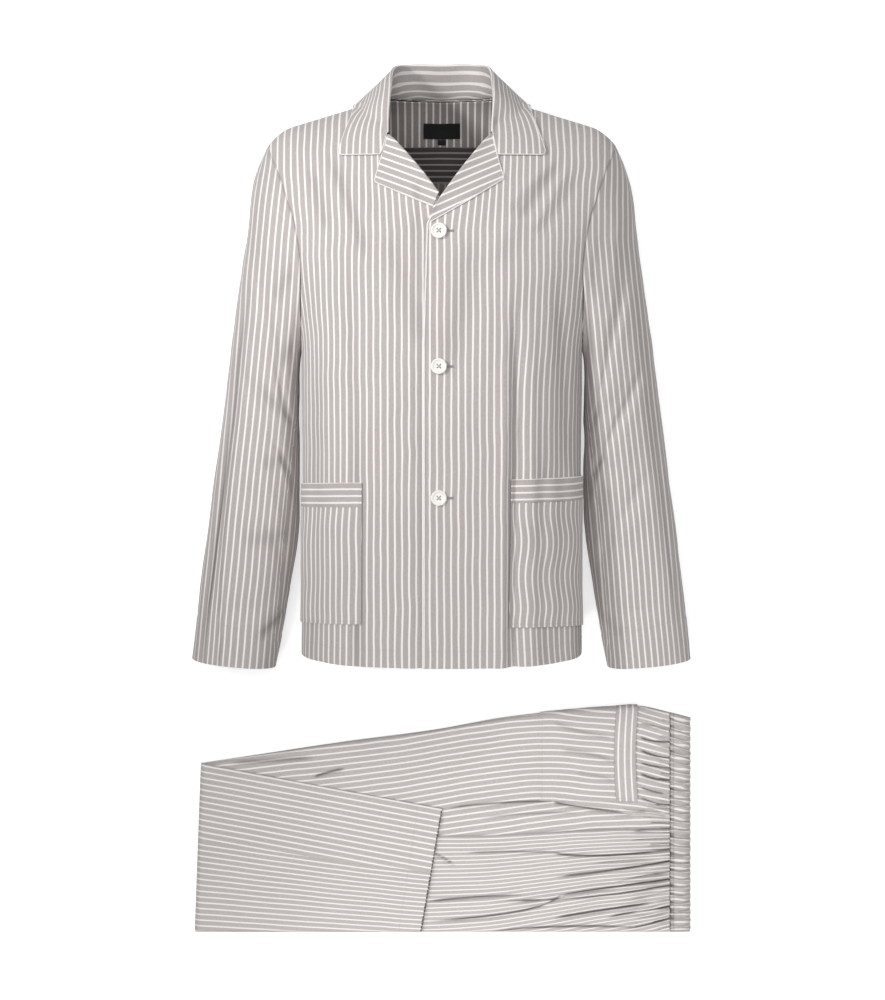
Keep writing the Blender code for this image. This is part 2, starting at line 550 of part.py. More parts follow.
def back_us():
    """The back's columns, with the fronts' own points along the shoulder seams."""
    top = front_point(1, FRONT_U, np.ones_like(FRONT_U))[:, 0] - CENTRE_X
    top = np.concatenate([np.linspace(0, NECK_X, NECK_STEPS + 1)[:-1], top])
    widest = body_width(np.array(SHOULDER_Y))
    turn = np.arcsin((top / widest) ** (POWER["back"] / 2))
    half = turn / turn[-1]
    return np.concatenate([-half[:0:-1], half])


def build_back(name, t_values, low, high, armhole_normals):
    u, t = np.meshgrid(back_us(), t_values)
    points = back_point(u, t)
    normals = normals_of(back_point, u, t, u_low=-1) * -1
    at_arm = t_values >= UNDERARM_T
    places = np.searchsorted(PANEL_T[PANEL_T >= UNDERARM_T], t_values[at_arm])
    normals[at_arm, -1] = armhole_normals[1][places]
    normals[at_arm, 0] = armhole_normals[-1][places]
    points = trimmed(points, ["low_u", "high_u"] + low + high)
    inner = points - normals * CLOTH
    inner[..., 2] = np.maximum(inner[..., 2], CLOTH)
    add_wall(name, points, inner)


# --- jacket: collar and lapels ---------------------------------------------------------------

def vectors_along(table, column, share, side):
    found = along(table, "share", column, share)
    return found * (side, 1, 1)


def over_front(side, leaf, crest, lift):
    """Lifts leaf points on to the front they lie on, higher next to the leaf's fold."""
    x, y, z = side * (leaf[:, 0] - CENTRE_X), leaf[:, 1] - SHIFT_Y, leaf[:, 2]
    near_fold = np.clip(1 - np.linalg.norm(leaf[:, :2] - crest[:2], axis=1) / SETTLE_REACH, 0, 1)
    resting = front_z(side, x, y) + lift + (2 * FOLD_RADIUS - lift) * near_fold**2
    z = np.where(y < shoulder_y(np.abs(x)), np.maximum(z, resting), z)
    return np.stack([leaf[:, 0], leaf[:, 1], z], axis=-1)


def past_ridge(leaf):
    """Keeps leaf points that are level with the shoulder seam outside it."""
    seam = shoulder_y(np.abs(leaf[:, 0] - CENTRE_X)) + SHIFT_Y + RIDGE_CLEAR
    level = np.abs(leaf[:, 2] - SEAM_Z) < RIDGE_HEIGHT
    y = np.where(level, np.maximum(leaf[:, 1], seam), leaf[:, 1])
    return np.stack([leaf[:, 0], y, leaf[:, 2]], axis=-1)


def collar_foot(side, share):
    """The neck seam: along the yoke's upper edge, then down the front's inner edge."""
    if share <= NECK_SHARE:
        x = NECK_X * share / NECK_SHARE
        y = float(back_top_y(x))
        foot = np.array([CENTRE_X + side * x, y + SHIFT_Y, float(back_z(x, y)) + CLOTH])
        return foot + along(COLLAR, "share", "rise", share) * (side, 1, 1) * GAP * 2
    past = (share - NECK_SHARE) / (1 - NECK_SHARE)
    foot = front_point(side, 0.0, 1 - past * (1 - ROLL_TOP_T))
    inside = np.array([-side, 0.5 * (1 - past), 0])
    return foot + inside * (GAP * 2 + LEAF_CLOTH) - (0, 0, STAND_END * past)


def collar_row(side, share):
    """One section of the collar: up the stand, over the fold and out along the leaf."""
    rise = unit(vectors_along(COLLAR, "rise", share, side))
    inward = vectors_along(COLLAR, "inward", share, side)
    inward = unit(inward - rise * np.dot(inward, rise))
    origin = np.array([CENTRE_X, SHIFT_Y, 0])
    roll_top = front_point(side, 0.0, ROLL_TOP_T) + (-side * (GAP * 2 + LEAF_CLOTH), 0, FOLD_RADIUS)
    crest = origin + vectors_along(COLLAR, "crest", share, side)
    last = origin + vectors_along(COLLAR, "crest", 1.0, side)
    crest = crest + (roll_top - last) * ease(*ROLL_FADE, share)
    arc = crest + FOLD_RADIUS * (inward * np.cos(ARC)[:, None] + rise * np.sin(ARC)[:, None])
    foot = collar_foot(side, share)
    stand = [foot + (arc[0] - foot) * s for s in STAND_STEPS]
    edge = origin + vectors_along(COLLAR, "edge", share, side)
    leaf = arc[-1] + (edge - arc[-1]) * LEAF_STEPS[:, None]
    notch = origin + np.array([side * NOTCH[side][0], NOTCH[side][1], edge[2]])
    straight = arc[-1] + (edge - arc[-1]) * NOTCH_SHARE
    bend = np.interp(LEAF_STEPS, (0, NOTCH_SHARE, 1), (0, 1, 0)) * ease(*NOTCH_FADE, share) ** 2
    leaf[:, :2] += bend[:, None] * (notch - straight)[:2]
    leaf = past_ridge(leaf)
    if share > NECK_SHARE:
        leaf = over_front(side, leaf, crest, LEAF_LIFT["collar"])
    return np.concatenate([stand, arc, leaf])


def build_collar():
    shares = np.concatenate([-COLLAR_SHARES[:0:-1], COLLAR_SHARES])
    rows = np.array([collar_row(-1 if s < 0 else 1, abs(s)) for s in shares])
    normals = grid_normals(rows)
    crest = len(STAND_STEPS) + len(ARC) // 2
    if np.mean(np.sum(normals[:, crest] * (rows[:, crest] - rows[:, 0]), axis=-1)) < 0:
        normals = -normals
    add_wall("collar", rows, rows - normals * LEAF_CLOTH)


def lapel_outline(side, share):
    corners = np.array(LAPEL[side])
    return np.array([np.interp(share, LAPEL_STOPS, corners[:, k]) for k in (0, 1)])


def lapel_row(side, share):
    """One section of a lapel: round its roll, then out over the front."""
    t = LAPEL_TOP_T - share * (LAPEL_TOP_T - LAPEL_END_T[side])
    roll = front_point(side, 0.0, t)
    run = front_point(side, 0.0, ROLL_TOP_T)[:2] - front_point(side, 0.0, BREAK_T)[:2]
    across = unit(np.array([-run[1] * side, run[0] * side]))
    turn = ease(0, LAPEL_TURN, share)
    inside = unit(np.array([-side * (1 - turn) + across[0] * turn, across[1] * turn, 0]))
    crest = roll + inside * GAP * 2 + (0, 0, FOLD_RADIUS)
    down = np.array([0, 0, -1.0])
    arc = crest + FOLD_RADIUS * (down * np.cos(ARC)[:, None] + inside * np.sin(ARC)[:, None])
    outline = lapel_outline(side, share)
    edge = np.array([CENTRE_X + side * outline[0], outline[1] + SHIFT_Y, 0])
    leaf = np.array([arc[-1] + (edge - arc[-1]) * s for s in LAPEL_STEPS])
    leaf[:, 2] = 0
    return np.concatenate([arc, over_front(side, leaf, crest, LEAF_LIFT["lapel"])])


def build_lapel(name, side):
    rows = np.array([lapel_row(side, s) for s in LAPEL_ROLL])
    normals = grid_normals(rows)
    if np.mean(normals[:, -1, 2]) < 0:
        normals = -normals
    add_wall(name, rows, rows - normals * LEAF_CLOTH)


# --- jacket: neck facing, label, pockets, buttons --------------------------------------------

def build_neck_facing():
    columns = back_us()
    at_top = back_point(columns, np.ones_like(columns))[:, 0] - CENTRE_X
    columns = columns[np.abs(at_top) < FACING_HALF]
    u, t = np.meshgrid(columns, FACING_TS)
    points = back_point(u, t)
    normals = -normals_of(back_point, u, t, u_low=-1)
    near = CLOTH + FACING_GAP
    add_wall("neck_facing", points - normals * near, points - normals * (near + FACING_CLOTH))


def inside_back(x, y, depth):
    """A point this deep inside the back's outer face, at a place in plan."""
    step = 0.001
    slope_x = (back_z(x + step, y) - back_z(x - step, y)) / (2 * step)
    slope_y = (back_z(x, y + step) - back_z(x, y - step)) / (2 * step)
    up = unit(np.stack([-slope_x, -slope_y, np.ones_like(slope_x)], axis=-1))
    return np.stack([CENTRE_X + x, y + SHIFT_Y, back_z(x, y)], axis=-1) + up * depth


def build_label(name):
    left, right, foot, top = LABEL[name]
    wide, high = LABEL_GRID
    x, y = np.meshgrid(np.linspace(left, right, wide), np.linspace(foot, top, high))
    near = CLOTH + FACING_GAP + FACING_CLOTH + LABEL_GAP
    add_wall(name, inside_back(x, y, near), inside_back(x, y, near + LABEL_CLOTH), colour=BLACK)


def front_u_at(x):
    """The share across a front at which it has this x, below the underarm."""
    power = POWER["front"]
    turn_in = -math.asin((LAP / HALF_WIDTH) ** (power / 2))
    turn = math.asin((x / HALF_WIDTH) ** (power / 2))
    return (turn - turn_in) / (math.pi / 2 - turn_in)


def front_t_at(side, u, y):
    """The share up a front, below the underarm, at which it has this y in plan."""
    length = (UNDERARM_Y - HEM_Y) / UNDERARM_T
    t = (y - HEM_Y) / length
    for _ in range(6):
        t = t + (y - (front_point(side, u, t)[..., 1] - SHIFT_Y)) / length
    return t


def pocket_grid(side, low, high, rows):
    """Front points between two heights of a pocket, 0 at its foot and 1 at its mouth."""
    size = POCKET[side]
    first, foot_first = front_u_at(size["inner"]), front_u_at(size["foot_inner"])
    last = size["outer"]
    inside = FRONT_U[(FRONT_U > first + COLUMN_APART) & (FRONT_U < last - COLUMN_APART)]
    columns = np.concatenate([[first], inside, [last]])
    u, v = np.meshgrid(columns, np.linspace(low, high, rows))
    share = (u - first) / (last - first)
    mouth = size["top"] + (size["top_out"] - size["top"]) * share
    y = size["foot"] + (mouth - size["foot"]) * v
    u = u + (foot_first - first) * (1 - v) * (1 - share)
    return u, front_t_at(side, u, y)


def build_on_front(name, side, u, t, cloth, lift):
    points = front_point(side, u, t)
    normals = normals_of(lambda a, b: front_point(side, a, b), u, t) * side
    add_wall(name, points + normals * (lift + cloth), points + normals * lift)


def build_pocket(side, word):
    size = POCKET[side]
    band_share = 1 - size["band"] / (size["top"] - size["foot"])
    seam = GAP / (size["top"] - size["foot"])
    u, t = pocket_grid(side, 0, band_share - seam, POCKET_ROWS)
    build_on_front("pocket_" + word, side, u, t, PATCH_CLOTH, POCKET_LIFT)
    u, t = pocket_grid(side, band_share, 1, BAND_ROWS)
    build_on_front("pocket_band_" + word, side, u, t, BAND_CLOTH, POCKET_LIFT)


def lathe(profile, sides):
    """A closed turned solid from (radius, height) pairs that start and end on the axis."""
    turns = np.arange(sides) * 2 * math.pi / sides
    points = [(0, 0, profile[0][1])]
    for radius, height in profile[1:-1]:
        points += [(radius * math.cos(a), radius * math.sin(a), height) for a in turns]
    points.append((0, 0, profile[-1][1]))
    faces = []
    rings = len(profile) - 2
    for j in range(sides):
        k = (j + 1) % sides
        faces.append([0, 1 + k, 1 + j])
        for i in range(rings - 1):
            a, b = 1 + i * sides, 1 + (i + 1) * sides
            faces.append([a + j, a + k, b + k, b + j])
        a = 1 + (rings - 1) * sides
        faces.append([a + j, a + k, len(points) - 1])
    return np.array(points), faces


def build_button(name, y):
    """A button with a raised rim round a dish, and four holes cut through the dish."""
    z = float(front_z(1, BUTTON_X, y)) + GAP * 3
    dish = BUTTON_THICK - BUTTON_DISH
    edge, thick, bevel = BUTTON_RADIUS, BUTTON_THICK, BUTTON_BEVEL
    profile = [(0, 0), (edge - bevel, 0), (edge, bevel), (edge, thick - bevel),
               (edge - bevel, thick), (edge - BUTTON_RIM, thick),
               (edge - BUTTON_RIM - bevel, dish), (0, dish)]
    points, faces = lathe(profile, BUTTON_SIDES)
    button = add_solid(name, points, faces, WHITE)
    button.location = (CENTRE_X + BUTTON_X, y + SHIFT_Y, z)
    cutter = bpy.data.meshes.new(name + "_holes")
    low, high = -thick, 2 * thick
    hole, hole_faces = lathe([(0, low), (HOLE_RADIUS, low), (HOLE_RADIUS, high), (0, high)], HOLE_SIDES)
    places = [(sx * HOLE_SPREAD, sy * HOLE_SPREAD, 0) for sx in (-1, 1) for sy in (-1, 1)]
    cut_points = np.concatenate([hole + place for place in places])
    cut_faces = [[v + k * len(hole) for v in face] for k in range(len(places)) for face in hole_faces]
    if volume_of(cut_points, cut_faces) < 0:
        cut_faces = [face[::-1] for face in cut_faces]
    cutter.from_pydata(cut_points.tolist(), [], cut_faces)
    holes = bpy.data.objects.new(name + "_holes", cutter)
    bpy.context.scene.collection.objects.link(holes)
    holes.location = button.location
    holes.hide_render = True
    holes.display_type = "WIRE"
    cut = button.modifiers.new("holes", "BOOLEAN")
    cut.object = holes


# --- trousers --------------------------------------------------------------------------------

def leg_top_y(x):
    return along(LEG_TOP, "x", "y", x)


def leg_seam_y(x):
    return along(LEG_SEAM, "x", "y", x)


def leg_foot_y(x):
    """The folded leg's lower edge: a little way in where the lower leg lies over it."""
    return LEG_FOOT_Y + FOLDED_INSET * (1 - ease(*FOLDED_FADE, x))


def rounded_off(s):
    """1 at an edge, falling to 0 over a quarter circle, as s goes from 0 to 1."""
    return 1 - np.sqrt(1 - (1 - np.clip(s, 0, 1)) ** 2)


def gathered(name, x, share):
    """Waves that run from the waist and fade along the leg."""
    count, height = GATHERS[name]
    near = ease(WAIST_X - GATHER_REACH, WAIST_X, x) ** 1.5
    return height * near * wave(count, share)


def leg_surface_z(name, x, y, share):
    return LEG_LEVEL + creased(LEG_CREASES, x, y) + gathered(name, x, share)


def leg_grid(name, columns, outline, seam, flat):
    """A top layer from its folded edge, which curls down, across to the side seam."""
    rows = []
    for turn in CURL_TURNS[:-1]:
        y = outline(columns) + np.sign(seam(columns) - outline(columns)) * LEG_CURL * (1 - math.cos(turn))
        z = leg_surface_z(name, columns, y, 0 * columns)
        rows.append(np.stack([columns, y, CURL_FOOT_Z + (z - CURL_FOOT_Z) * math.sin(turn)], axis=-1))
    for share in flat:
        edge = outline(columns) + np.sign(seam(columns) - outline(columns)) * LEG_CURL
        y = edge + (seam(columns) - edge) * share
        z = leg_surface_z(name, columns, y, share + 0 * columns)
        rows.append(np.stack([columns, y, z], axis=-1))
    points = np.array(rows)
    points[..., 1] += SHIFT_Y
    return points


def build_flat(name, points, cloth, trims):
    """A wall under a grid of points that faces up."""
    normals = grid_normals(points)
    normals = np.where(np.mean(normals[..., 2]) < 0, -1, 1) * normals
    points = trimmed(points, trims)
    inner = points - normals * cloth
    inner[..., 2] = np.maximum(inner[..., 2], points[..., 2] - cloth * 1.15)
    add_wall(name, points, inner)


def wave(count, share):
    return 0.5 - 0.5 * np.cos(2 * math.pi * count * share)


def wave_shares(count):
    return np.linspace(0, 1, count * WAVE_STEPS + 1)


def build_leg():
    for name, outline in (("trousers_front", leg_top_y), ("trousers_back", leg_foot_y)):
        points = leg_grid(name, LEG_COLUMNS, outline, leg_seam_y, wave_shares(GATHERS[name][0]))
        build_flat(name, points, TOP_CLOTH, ["high_t"])


def build_waistband():
    """The gathered casing: its top is a fold that curls down to the surface."""
    share, part = np.meshgrid(wave_shares(WAIST_GATHERS), WAIST_COLUMNS, indexing="ij")
    ripple = wave(WAIST_GATHERS, share)
    breadth = WAIST_TOP_X - WAIST_X - GAP
    x = WAIST_X + GAP + breadth * part - WAIST_RUFFLE * (1 - ripple) * part
    top_y = leg_top_y(WAIST_X + breadth * part)
    y = top_y + (LEG_FOOT_Y - top_y) * share
    arch = np.sin(math.pi * np.clip(part / WAIST_ARCH, 0, 1))
    high = LEG_LEVEL + WAIST_RISE * arch + WAIST_WAVE * ripple
    from_end = np.minimum(share, 1 - share) * np.abs(LEG_FOOT_Y - top_y)
    down = np.maximum(rounded_off(from_end / LEG_CURL), rounded_off((1 - part) / WAIST_ROUND))
    z = high - (high - CURL_FOOT_Z) * down
    points = np.stack([x, y + SHIFT_Y, z], axis=-1)
    build_flat("waistband", points, TOP_CLOTH, [])


def build_folded_leg():
    """The lower leg, folded back over the rest at the knee: two halves joined at its seam."""
    low_edge = {"lower_leg_upper": LEG_LEVEL + FOLDED_CLOTH * 0.7, "lower_leg_lower": CURL_FOOT_Z}
    corners = {"lower_leg_upper": ("left_top", "hem_top"), "lower_leg_lower": ("left_foot", "hem_foot")}
    fold_share = FOLD_CURL / FOLDED_LENGTH
    along_leg = np.concatenate([fold_share * (1 - np.cos(CURL_TURNS[:-1])),
                                np.linspace(fold_share, 1, FOLDED_COLUMNS)])
    for name, (left_name, hem_name) in corners.items():
        left, hem = np.array(FOLDED[left_name]), np.array(FOLDED[hem_name])
        seam_left, seam_hem = np.array(FOLDED["seam_left"]), np.array(FOLDED["seam_hem"])
        wide = np.linalg.norm(left - seam_left)
        across = np.concatenate([LEG_CURL * (1 - np.cos(CURL_TURNS[:-1])) / wide,
                                 np.linspace(LEG_CURL / wide, 1, FOLDED_ROWS)])
        b, a = np.meshgrid(across, along_leg, indexing="ij")
        start = left + (seam_left - left) * b[..., None]
        end = hem + (seam_hem - hem) * b[..., None]
        plan = start + (end - start) * a[..., None]
        fold = rounded_off(a / fold_share)
        edge = rounded_off(b * wide / LEG_CURL)
        swell = FOLD_SWELL * np.exp(-(a * FOLDED_LENGTH / SWELL_REACH) ** 2)
        z = FOLDED_TOP + swell - (FOLDED_TOP - FOLD_FOOT_Z) * fold - (FOLDED_TOP - low_edge[name]) * edge
        z = np.maximum(z, FOLD_FOOT_Z)
        points = np.stack([plan[..., 0], plan[..., 1] + SHIFT_Y, z], axis=-1)
        build_flat(name, points, FOLDED_CLOTH, ["high_t"])


def build_leg_pocket():
    """Patch and band on the hip; the band runs across the leg and the seam between them bows."""
    for name, (left, right) in LEG_POCKET.items():
        part, v = np.meshgrid(*(np.linspace(0, 1, steps) for steps in PATCH_GRID))
        x = left + (right - left) * part
        top = leg_top_y(x) - LEG_CURL
        y = LEG_POCKET_FOOT + (top - LEG_POCKET_FOOT) * v
        patch = name == "trousers_pocket"
        x = x - LEG_POCKET_BOW * np.sin(math.pi * v) * (part if patch else 1)
        z = leg_surface_z("trousers_front", x, y, 0.5 + 0 * x) + GAP * 3
        points = np.stack([x, y + SHIFT_Y, z], axis=-1)
        add_wall(name, points + (0, 0, PATCH_CLOTH if patch else BAND_CLOTH), points)


def build_under_layers():
    """The hidden layers as one rounded solid, with the edges of two layers round its side."""
    top = [(x, float(leg_top_y(x))) for x in LEG_COLUMNS]
    foot = [(x, float(leg_foot_y(x))) for x in LEG_COLUMNS[::-1]]
    outline = np.array(top + list(UNDER_RIGHT) + foot + list(UNDER_LEFT))
    middle = outline.mean(axis=0)
    edges = np.roll(outline, -1, axis=0) - np.roll(outline, 1, axis=0)
    out = unit(np.stack([edges[:, 1], -edges[:, 0]], axis=-1))
    if np.mean(np.sum(out * (outline - middle), axis=1)) < 0:
        out = -out
    rings = [np.column_stack([outline - out * inset, np.full(len(outline), z)])
             for inset, z in UNDER_PROFILE]
    points = np.concatenate(rings)
    points[:, 1] += SHIFT_Y
    n = len(outline)
    faces = [list(range(n))[::-1], [(len(rings) - 1) * n + j for j in range(n)]]
    for i in range(len(rings) - 1):
        for j in range(n):
            k = (j + 1) % n
            faces.append([i * n + j, i * n + k, (i + 1) * n + k, (i + 1) * n + j])
    add_solid("trousers_under_layers", points, faces)


def main():
    for thing in list(bpy.data.objects):
        bpy.data.objects.remove(thing, do_unlink=True)
    armholes = {}
    for word, side in (("left", 1), ("right", -1)):
        front_n, back_n = build_sleeve("sleeve_" + word, side)
        armholes[side] = back_n
        build_front("front_" + word, side, front_n)
        build_lapel("lapel_" + word, side)
        build_pocket(side, word)
    lower = PANEL_T[PANEL_T <= YOKE_T + 1e-9]
    build_back("jacket_back", lower, [], ["high_t"], armholes)
    build_back("jacket_yoke", YOKE_TS, ["low_t"], ["high_t"], armholes)
    build_neck_facing()
    build_collar()
    for name in LABEL:
        build_label(name)
    for name, y in BUTTON_Y.items():
        build_button(name, y)
    build_leg()
    build_leg_pocket()
    build_waistband()
    build_folded_leg()
    build_under_layers()


main()
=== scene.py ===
"""The look of a pyjama set: a striped cotton jacket lying filled out on its back, and trousers
folded flat below it. Metres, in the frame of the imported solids, whose shape functions it repeats.
"""
import math

import bpy
import numpy as np
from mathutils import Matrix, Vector


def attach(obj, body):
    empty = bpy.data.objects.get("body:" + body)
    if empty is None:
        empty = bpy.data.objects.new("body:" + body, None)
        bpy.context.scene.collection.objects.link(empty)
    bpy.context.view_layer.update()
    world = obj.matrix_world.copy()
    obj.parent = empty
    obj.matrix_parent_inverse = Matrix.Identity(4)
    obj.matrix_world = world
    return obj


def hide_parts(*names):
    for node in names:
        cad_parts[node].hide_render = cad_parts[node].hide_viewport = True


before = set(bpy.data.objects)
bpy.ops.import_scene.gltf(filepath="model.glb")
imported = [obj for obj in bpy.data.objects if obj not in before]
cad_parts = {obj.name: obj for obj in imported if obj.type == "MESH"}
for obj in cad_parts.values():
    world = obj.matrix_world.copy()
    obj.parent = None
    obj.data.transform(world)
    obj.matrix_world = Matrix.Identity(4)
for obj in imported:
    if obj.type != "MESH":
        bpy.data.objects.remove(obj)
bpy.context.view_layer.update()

# --- sizes repeated from the solids ----------------------------------------------------------

CENTRE_X, SHIFT_Y = -0.0010, 0.0046
GAP = 0.0003
HALF_WIDTH, SEAM_Z = 0.1873, 0.105
FRONT_DEPTH, HEM_DEPTH, BACK_DEPTH = 0.120, 0.105, 0.112
POWER = {"front": 2.5, "back": 3.0}
HEM_Y, HEM_TILT, HEM_FADE, UNDERARM_Y = -0.2012, 0.17, 0.35, 0.205
NECK_X, NECK_Y, SHOULDER_X, SHOULDER_Y = 0.0700, 0.5400, 0.2338, 0.4740
SHOULDER_SLOPE, CENTRE_RISE = 0.305, 0.0214
SHOULDER_DROP, SHOULDER_DROP_X = 0.016, 0.200
BACK_NECK_Y = 0.5450
LAP, LAP_TOP, LAP_DROP = 0.0255, 0.0205, 0.0034
LAP_FADE_X, LAP_FADE_Y = (0.0265, 0.0395), (0.400, 0.425)
FULL = {"front": (0.200, 1.8), "back": (0.130, 2.0)}
UNDERARM_T, YOKE_T = 0.50, 0.86
LAP_TOP_T, BREAK_T, ROLL_TOP_T = 0.735, 0.76, 0.895
BODY_WIDTH = {"y": (-0.25, 0.15, 0.205, 0.313, 0.360, 0.410, 0.474, 0.560),
              "half": (0.1873, 0.1873, 0.1885, 0.215, 0.232, 0.252, 0.262, 0.262)}
ARMHOLE = {"y": (0.205, 0.260, 0.313, 0.356, 0.411, 0.450, 0.474),
           "front": (0.1873, 0.1860, 0.1852, 0.1914, 0.2097, 0.2255, 0.2338),
           "back": (0.1873, 0.1935, 0.1985, 0.2060, 0.2190, 0.2285, 0.2338)}
LAP_TOP_Y, BREAK_Y, ROLL_TOP_Y = 0.3550, 0.3670, 0.4810
ROLL_TOP_X = {1: 0.0685, -1: 0.0735}
BREAK_X = -0.0125
CREASE_IN, CREASE_OUT = (-0.05, 0.25), (0.85, 1.10)
FRONT_CREASES = {
    "x0": (0.097, 0.083, 0.160, -0.170, 0.150, 0.060, -0.150, -0.060, -0.120),
    "y0": (0.250, 0.170, 0.330, 0.260, 0.440, 0.330, 0.430, 0.300, 0.010),
    "x1": (0.094, 0.074, 0.156, -0.160, 0.060, 0.020, -0.060, -0.030, -0.060),
    "y1": (-0.250, -0.250, -0.250, -0.250, 0.310, 0.160, 0.330, 0.100, -0.250),
    "breadth": (0.0080, 0.010, 0.012, 0.012, 0.018, 0.020, 0.018, 0.022, 0.022),
    "height": (-0.0065, 0.0030, -0.0040, -0.0030, 0.0030, -0.0025, 0.0030, -0.0020, -0.0020)}
SLEEVE = {"share": (0.0, 0.08, 0.20, 0.35, 0.50, 0.65, 0.80, 0.92, 1.0),
          "outer_x": (0.2338, 0.2520, 0.2640, 0.2800, 0.2935, 0.3085, 0.3230, 0.3338, 0.3404),
          "outer_y": (0.4740, 0.4300, 0.3520, 0.2500, 0.1450, 0.0400, -0.0650, -0.1520, -0.2155),
          "inner_x": (0.1873, 0.1912, 0.1922, 0.1926, 0.1930, 0.1955, 0.2075, 0.2180, 0.2275),
          "inner_y": (0.2050, 0.1800, 0.1350, 0.0750, 0.0200, -0.0450, -0.1200, -0.1800, -0.2268),
          "front_z": (0.178, 0.166, 0.152, 0.136, 0.120, 0.108, 0.097, 0.089, 0.084),
          "back_z": (0.020, 0.012, 0.002, -0.004, -0.005, -0.005, -0.005, -0.005, -0.004)}
SLEEVE_POWER, SLEEVE_MERGE, SLEEVE_CLEAR, CUFF_TILT = 2.25, 0.45, 0.0030, 0.11
SLEEVE_CREASES = {
    "x0": (0.20, 0.40, 0.46, 0.62, 0.86), "y0": (0.15, 0.12, 0.30, 0.18, 0.40),
    "x1": (0.34, 0.50, 0.60, 0.74, 0.90), "y1": (0.40, 0.42, 0.44, 0.40, 0.20),
    "breadth": (0.025, 0.022, 0.022, 0.022, 0.020),
    "height": (-0.0035, -0.0035, 0.0025, -0.0030, -0.0025)}
NECK_SHARE = 0.42
COLLAR = {
    "share": (0.0, 0.22, 0.42, 0.60, 0.80, 1.0),
    "crest": ((0, 0.5865, 0.0800), (0.046, 0.5850, 0.0860), (0.0650, 0.5740, 0.1200),
              (0.0685, 0.5450, 0.1520), (0.0700, 0.5130, 0.1700), (0.0700, 0.4810, 0.1830)),
    "edge": ((0, 0.5400, 0.0120), (0.075, 0.5370, 0.0200), (0.1140, 0.5340, 0.0900),
             (0.1190, 0.5120, 0.1300), (0.1280, 0.4840, 0.1500), (0.1372, 0.4515, 0.1600)),
    "rise": ((0, 0.86, 0.50), (0, 0.86, 0.50), (0, 0.80, 0.60),
             (-0.50, 0.70, 0.50), (-0.92, 0.35, 0.15), (-1, 0, 0)),
    "inward": ((0, -0.50, 0.86), (-0.50, -0.35, 0.80), (-1, 0, 0),
               (-0.85, -0.50, 0), (-0.35, -0.50, -0.80), (0, 0, -1))}
NOTCH = {1: (0.0720, 0.4500), -1: (0.0790, 0.4500)}
NOTCH_SHARE = 0.16
NOTCH_FADE, ROLL_FADE = (0.70, 1.0), (0.6, 1.0)
LAPEL = {1: ((0.0716, 0.4490), (0.0811, 0.4170), (0.0369, 0.3884), (-0.0139, 0.3593)),
         -1: ((0.0779, 0.4490), (0.0880, 0.4130), (0.0480, 0.3945), (0.0110, 0.3795))}
LAPEL_STOPS = (0, 0.26, 0.70, 1.0)
LAPEL_END_T = {1: 0.765, -1: 0.788}
LAPEL_TOP_T, LAPEL_TURN = ROLL_TOP_T - 0.004, 0.15
FOLD_RADIUS, STAND_END, LEAF_CLOTH = 0.0024, 0.0040, 0.0013
LEAF_LIFT = {"collar": 0.0038, "lapel": 0.0022}
SETTLE_REACH, RIDGE_CLEAR, RIDGE_HEIGHT = 0.016, 0.0040, 0.030
POCKET = {1: {"inner": 0.0905, "foot_inner": 0.0880, "top": 0.0265, "top_out": 0.0330,
              "band": 0.0305, "foot": -0.1660, "outer": 0.955},
          -1: {"inner": 0.1040, "foot_inner": 0.1050, "top": 0.0225, "top_out": 0.0225,
               "band": 0.0315, "foot": -0.1620, "outer": 0.965}}
BUTTON_X = -0.0038
BUTTON_Y = {"button_top": 0.3475, "button_middle": 0.1725, "button_bottom": 0.0026}
BUTTON_RADIUS, BUTTON_THICK, HOLE_RADIUS, HOLE_SPREAD = 0.0103, 0.0030, 0.0010, 0.0021
FACING_HALF = 0.075
LABEL = {"neck_label": (-0.0262, 0.0262, 0.5006, 0.5205),
         "size_tab": (-0.0060, 0.0060, 0.4925, 0.5003)}
LEG_TOP = {"x": (-0.3340, -0.2500, -0.1410, -0.0030, 0.0830, 0.1570, 0.2400, 0.2700, 0.3100, 0.3440),
           "y": (-0.3640, -0.3515, -0.3350, -0.3165, -0.3010, -0.2925, -0.2860, -0.2845,
                 -0.2925, -0.3010)}
LEG_SEAM = {"x": (-0.3430, -0.0080, 0.0620, 0.1410, 0.2150, 0.3140),
            "y": (-0.4680, -0.4640, -0.4640, -0.4595, -0.4555, -0.4540)}
LEG_FOOT_Y, WAIST_X, WAIST_TOP_X = -0.5980, 0.3140, 0.3436
UNDER_HEIGHT = 0.0062
UNDER_RIGHT = ((0.3270, -0.2977), (0.3350, -0.3046), (0.3390, -0.3200), (0.3390, -0.4500),
               (0.3390, -0.5800), (0.3300, -0.5970))
UNDER_LEFT = ((-0.3300, -0.5400), (-0.3280, -0.4600), (-0.3250, -0.4000))
TOP_CLOTH, LEG_SLACK, LEG_CURL, CURL_FOOT_Z = 0.0018, 0.0020, 0.0060, 0.0036
LEG_LEVEL = UNDER_HEIGHT + GAP + TOP_CLOTH + LEG_SLACK
GATHER_REACH = 0.180
GATHERS = {"trousers_front": (7, 0.0022), "trousers_back": (13, 0.0024)}
WAIST_GATHERS, WAIST_WAVE, WAIST_RISE, WAIST_RUFFLE = 27, 0.0014, 0.0030, 0.0006
WAIST_ARCH, WAIST_ROUND = 0.90, 0.30
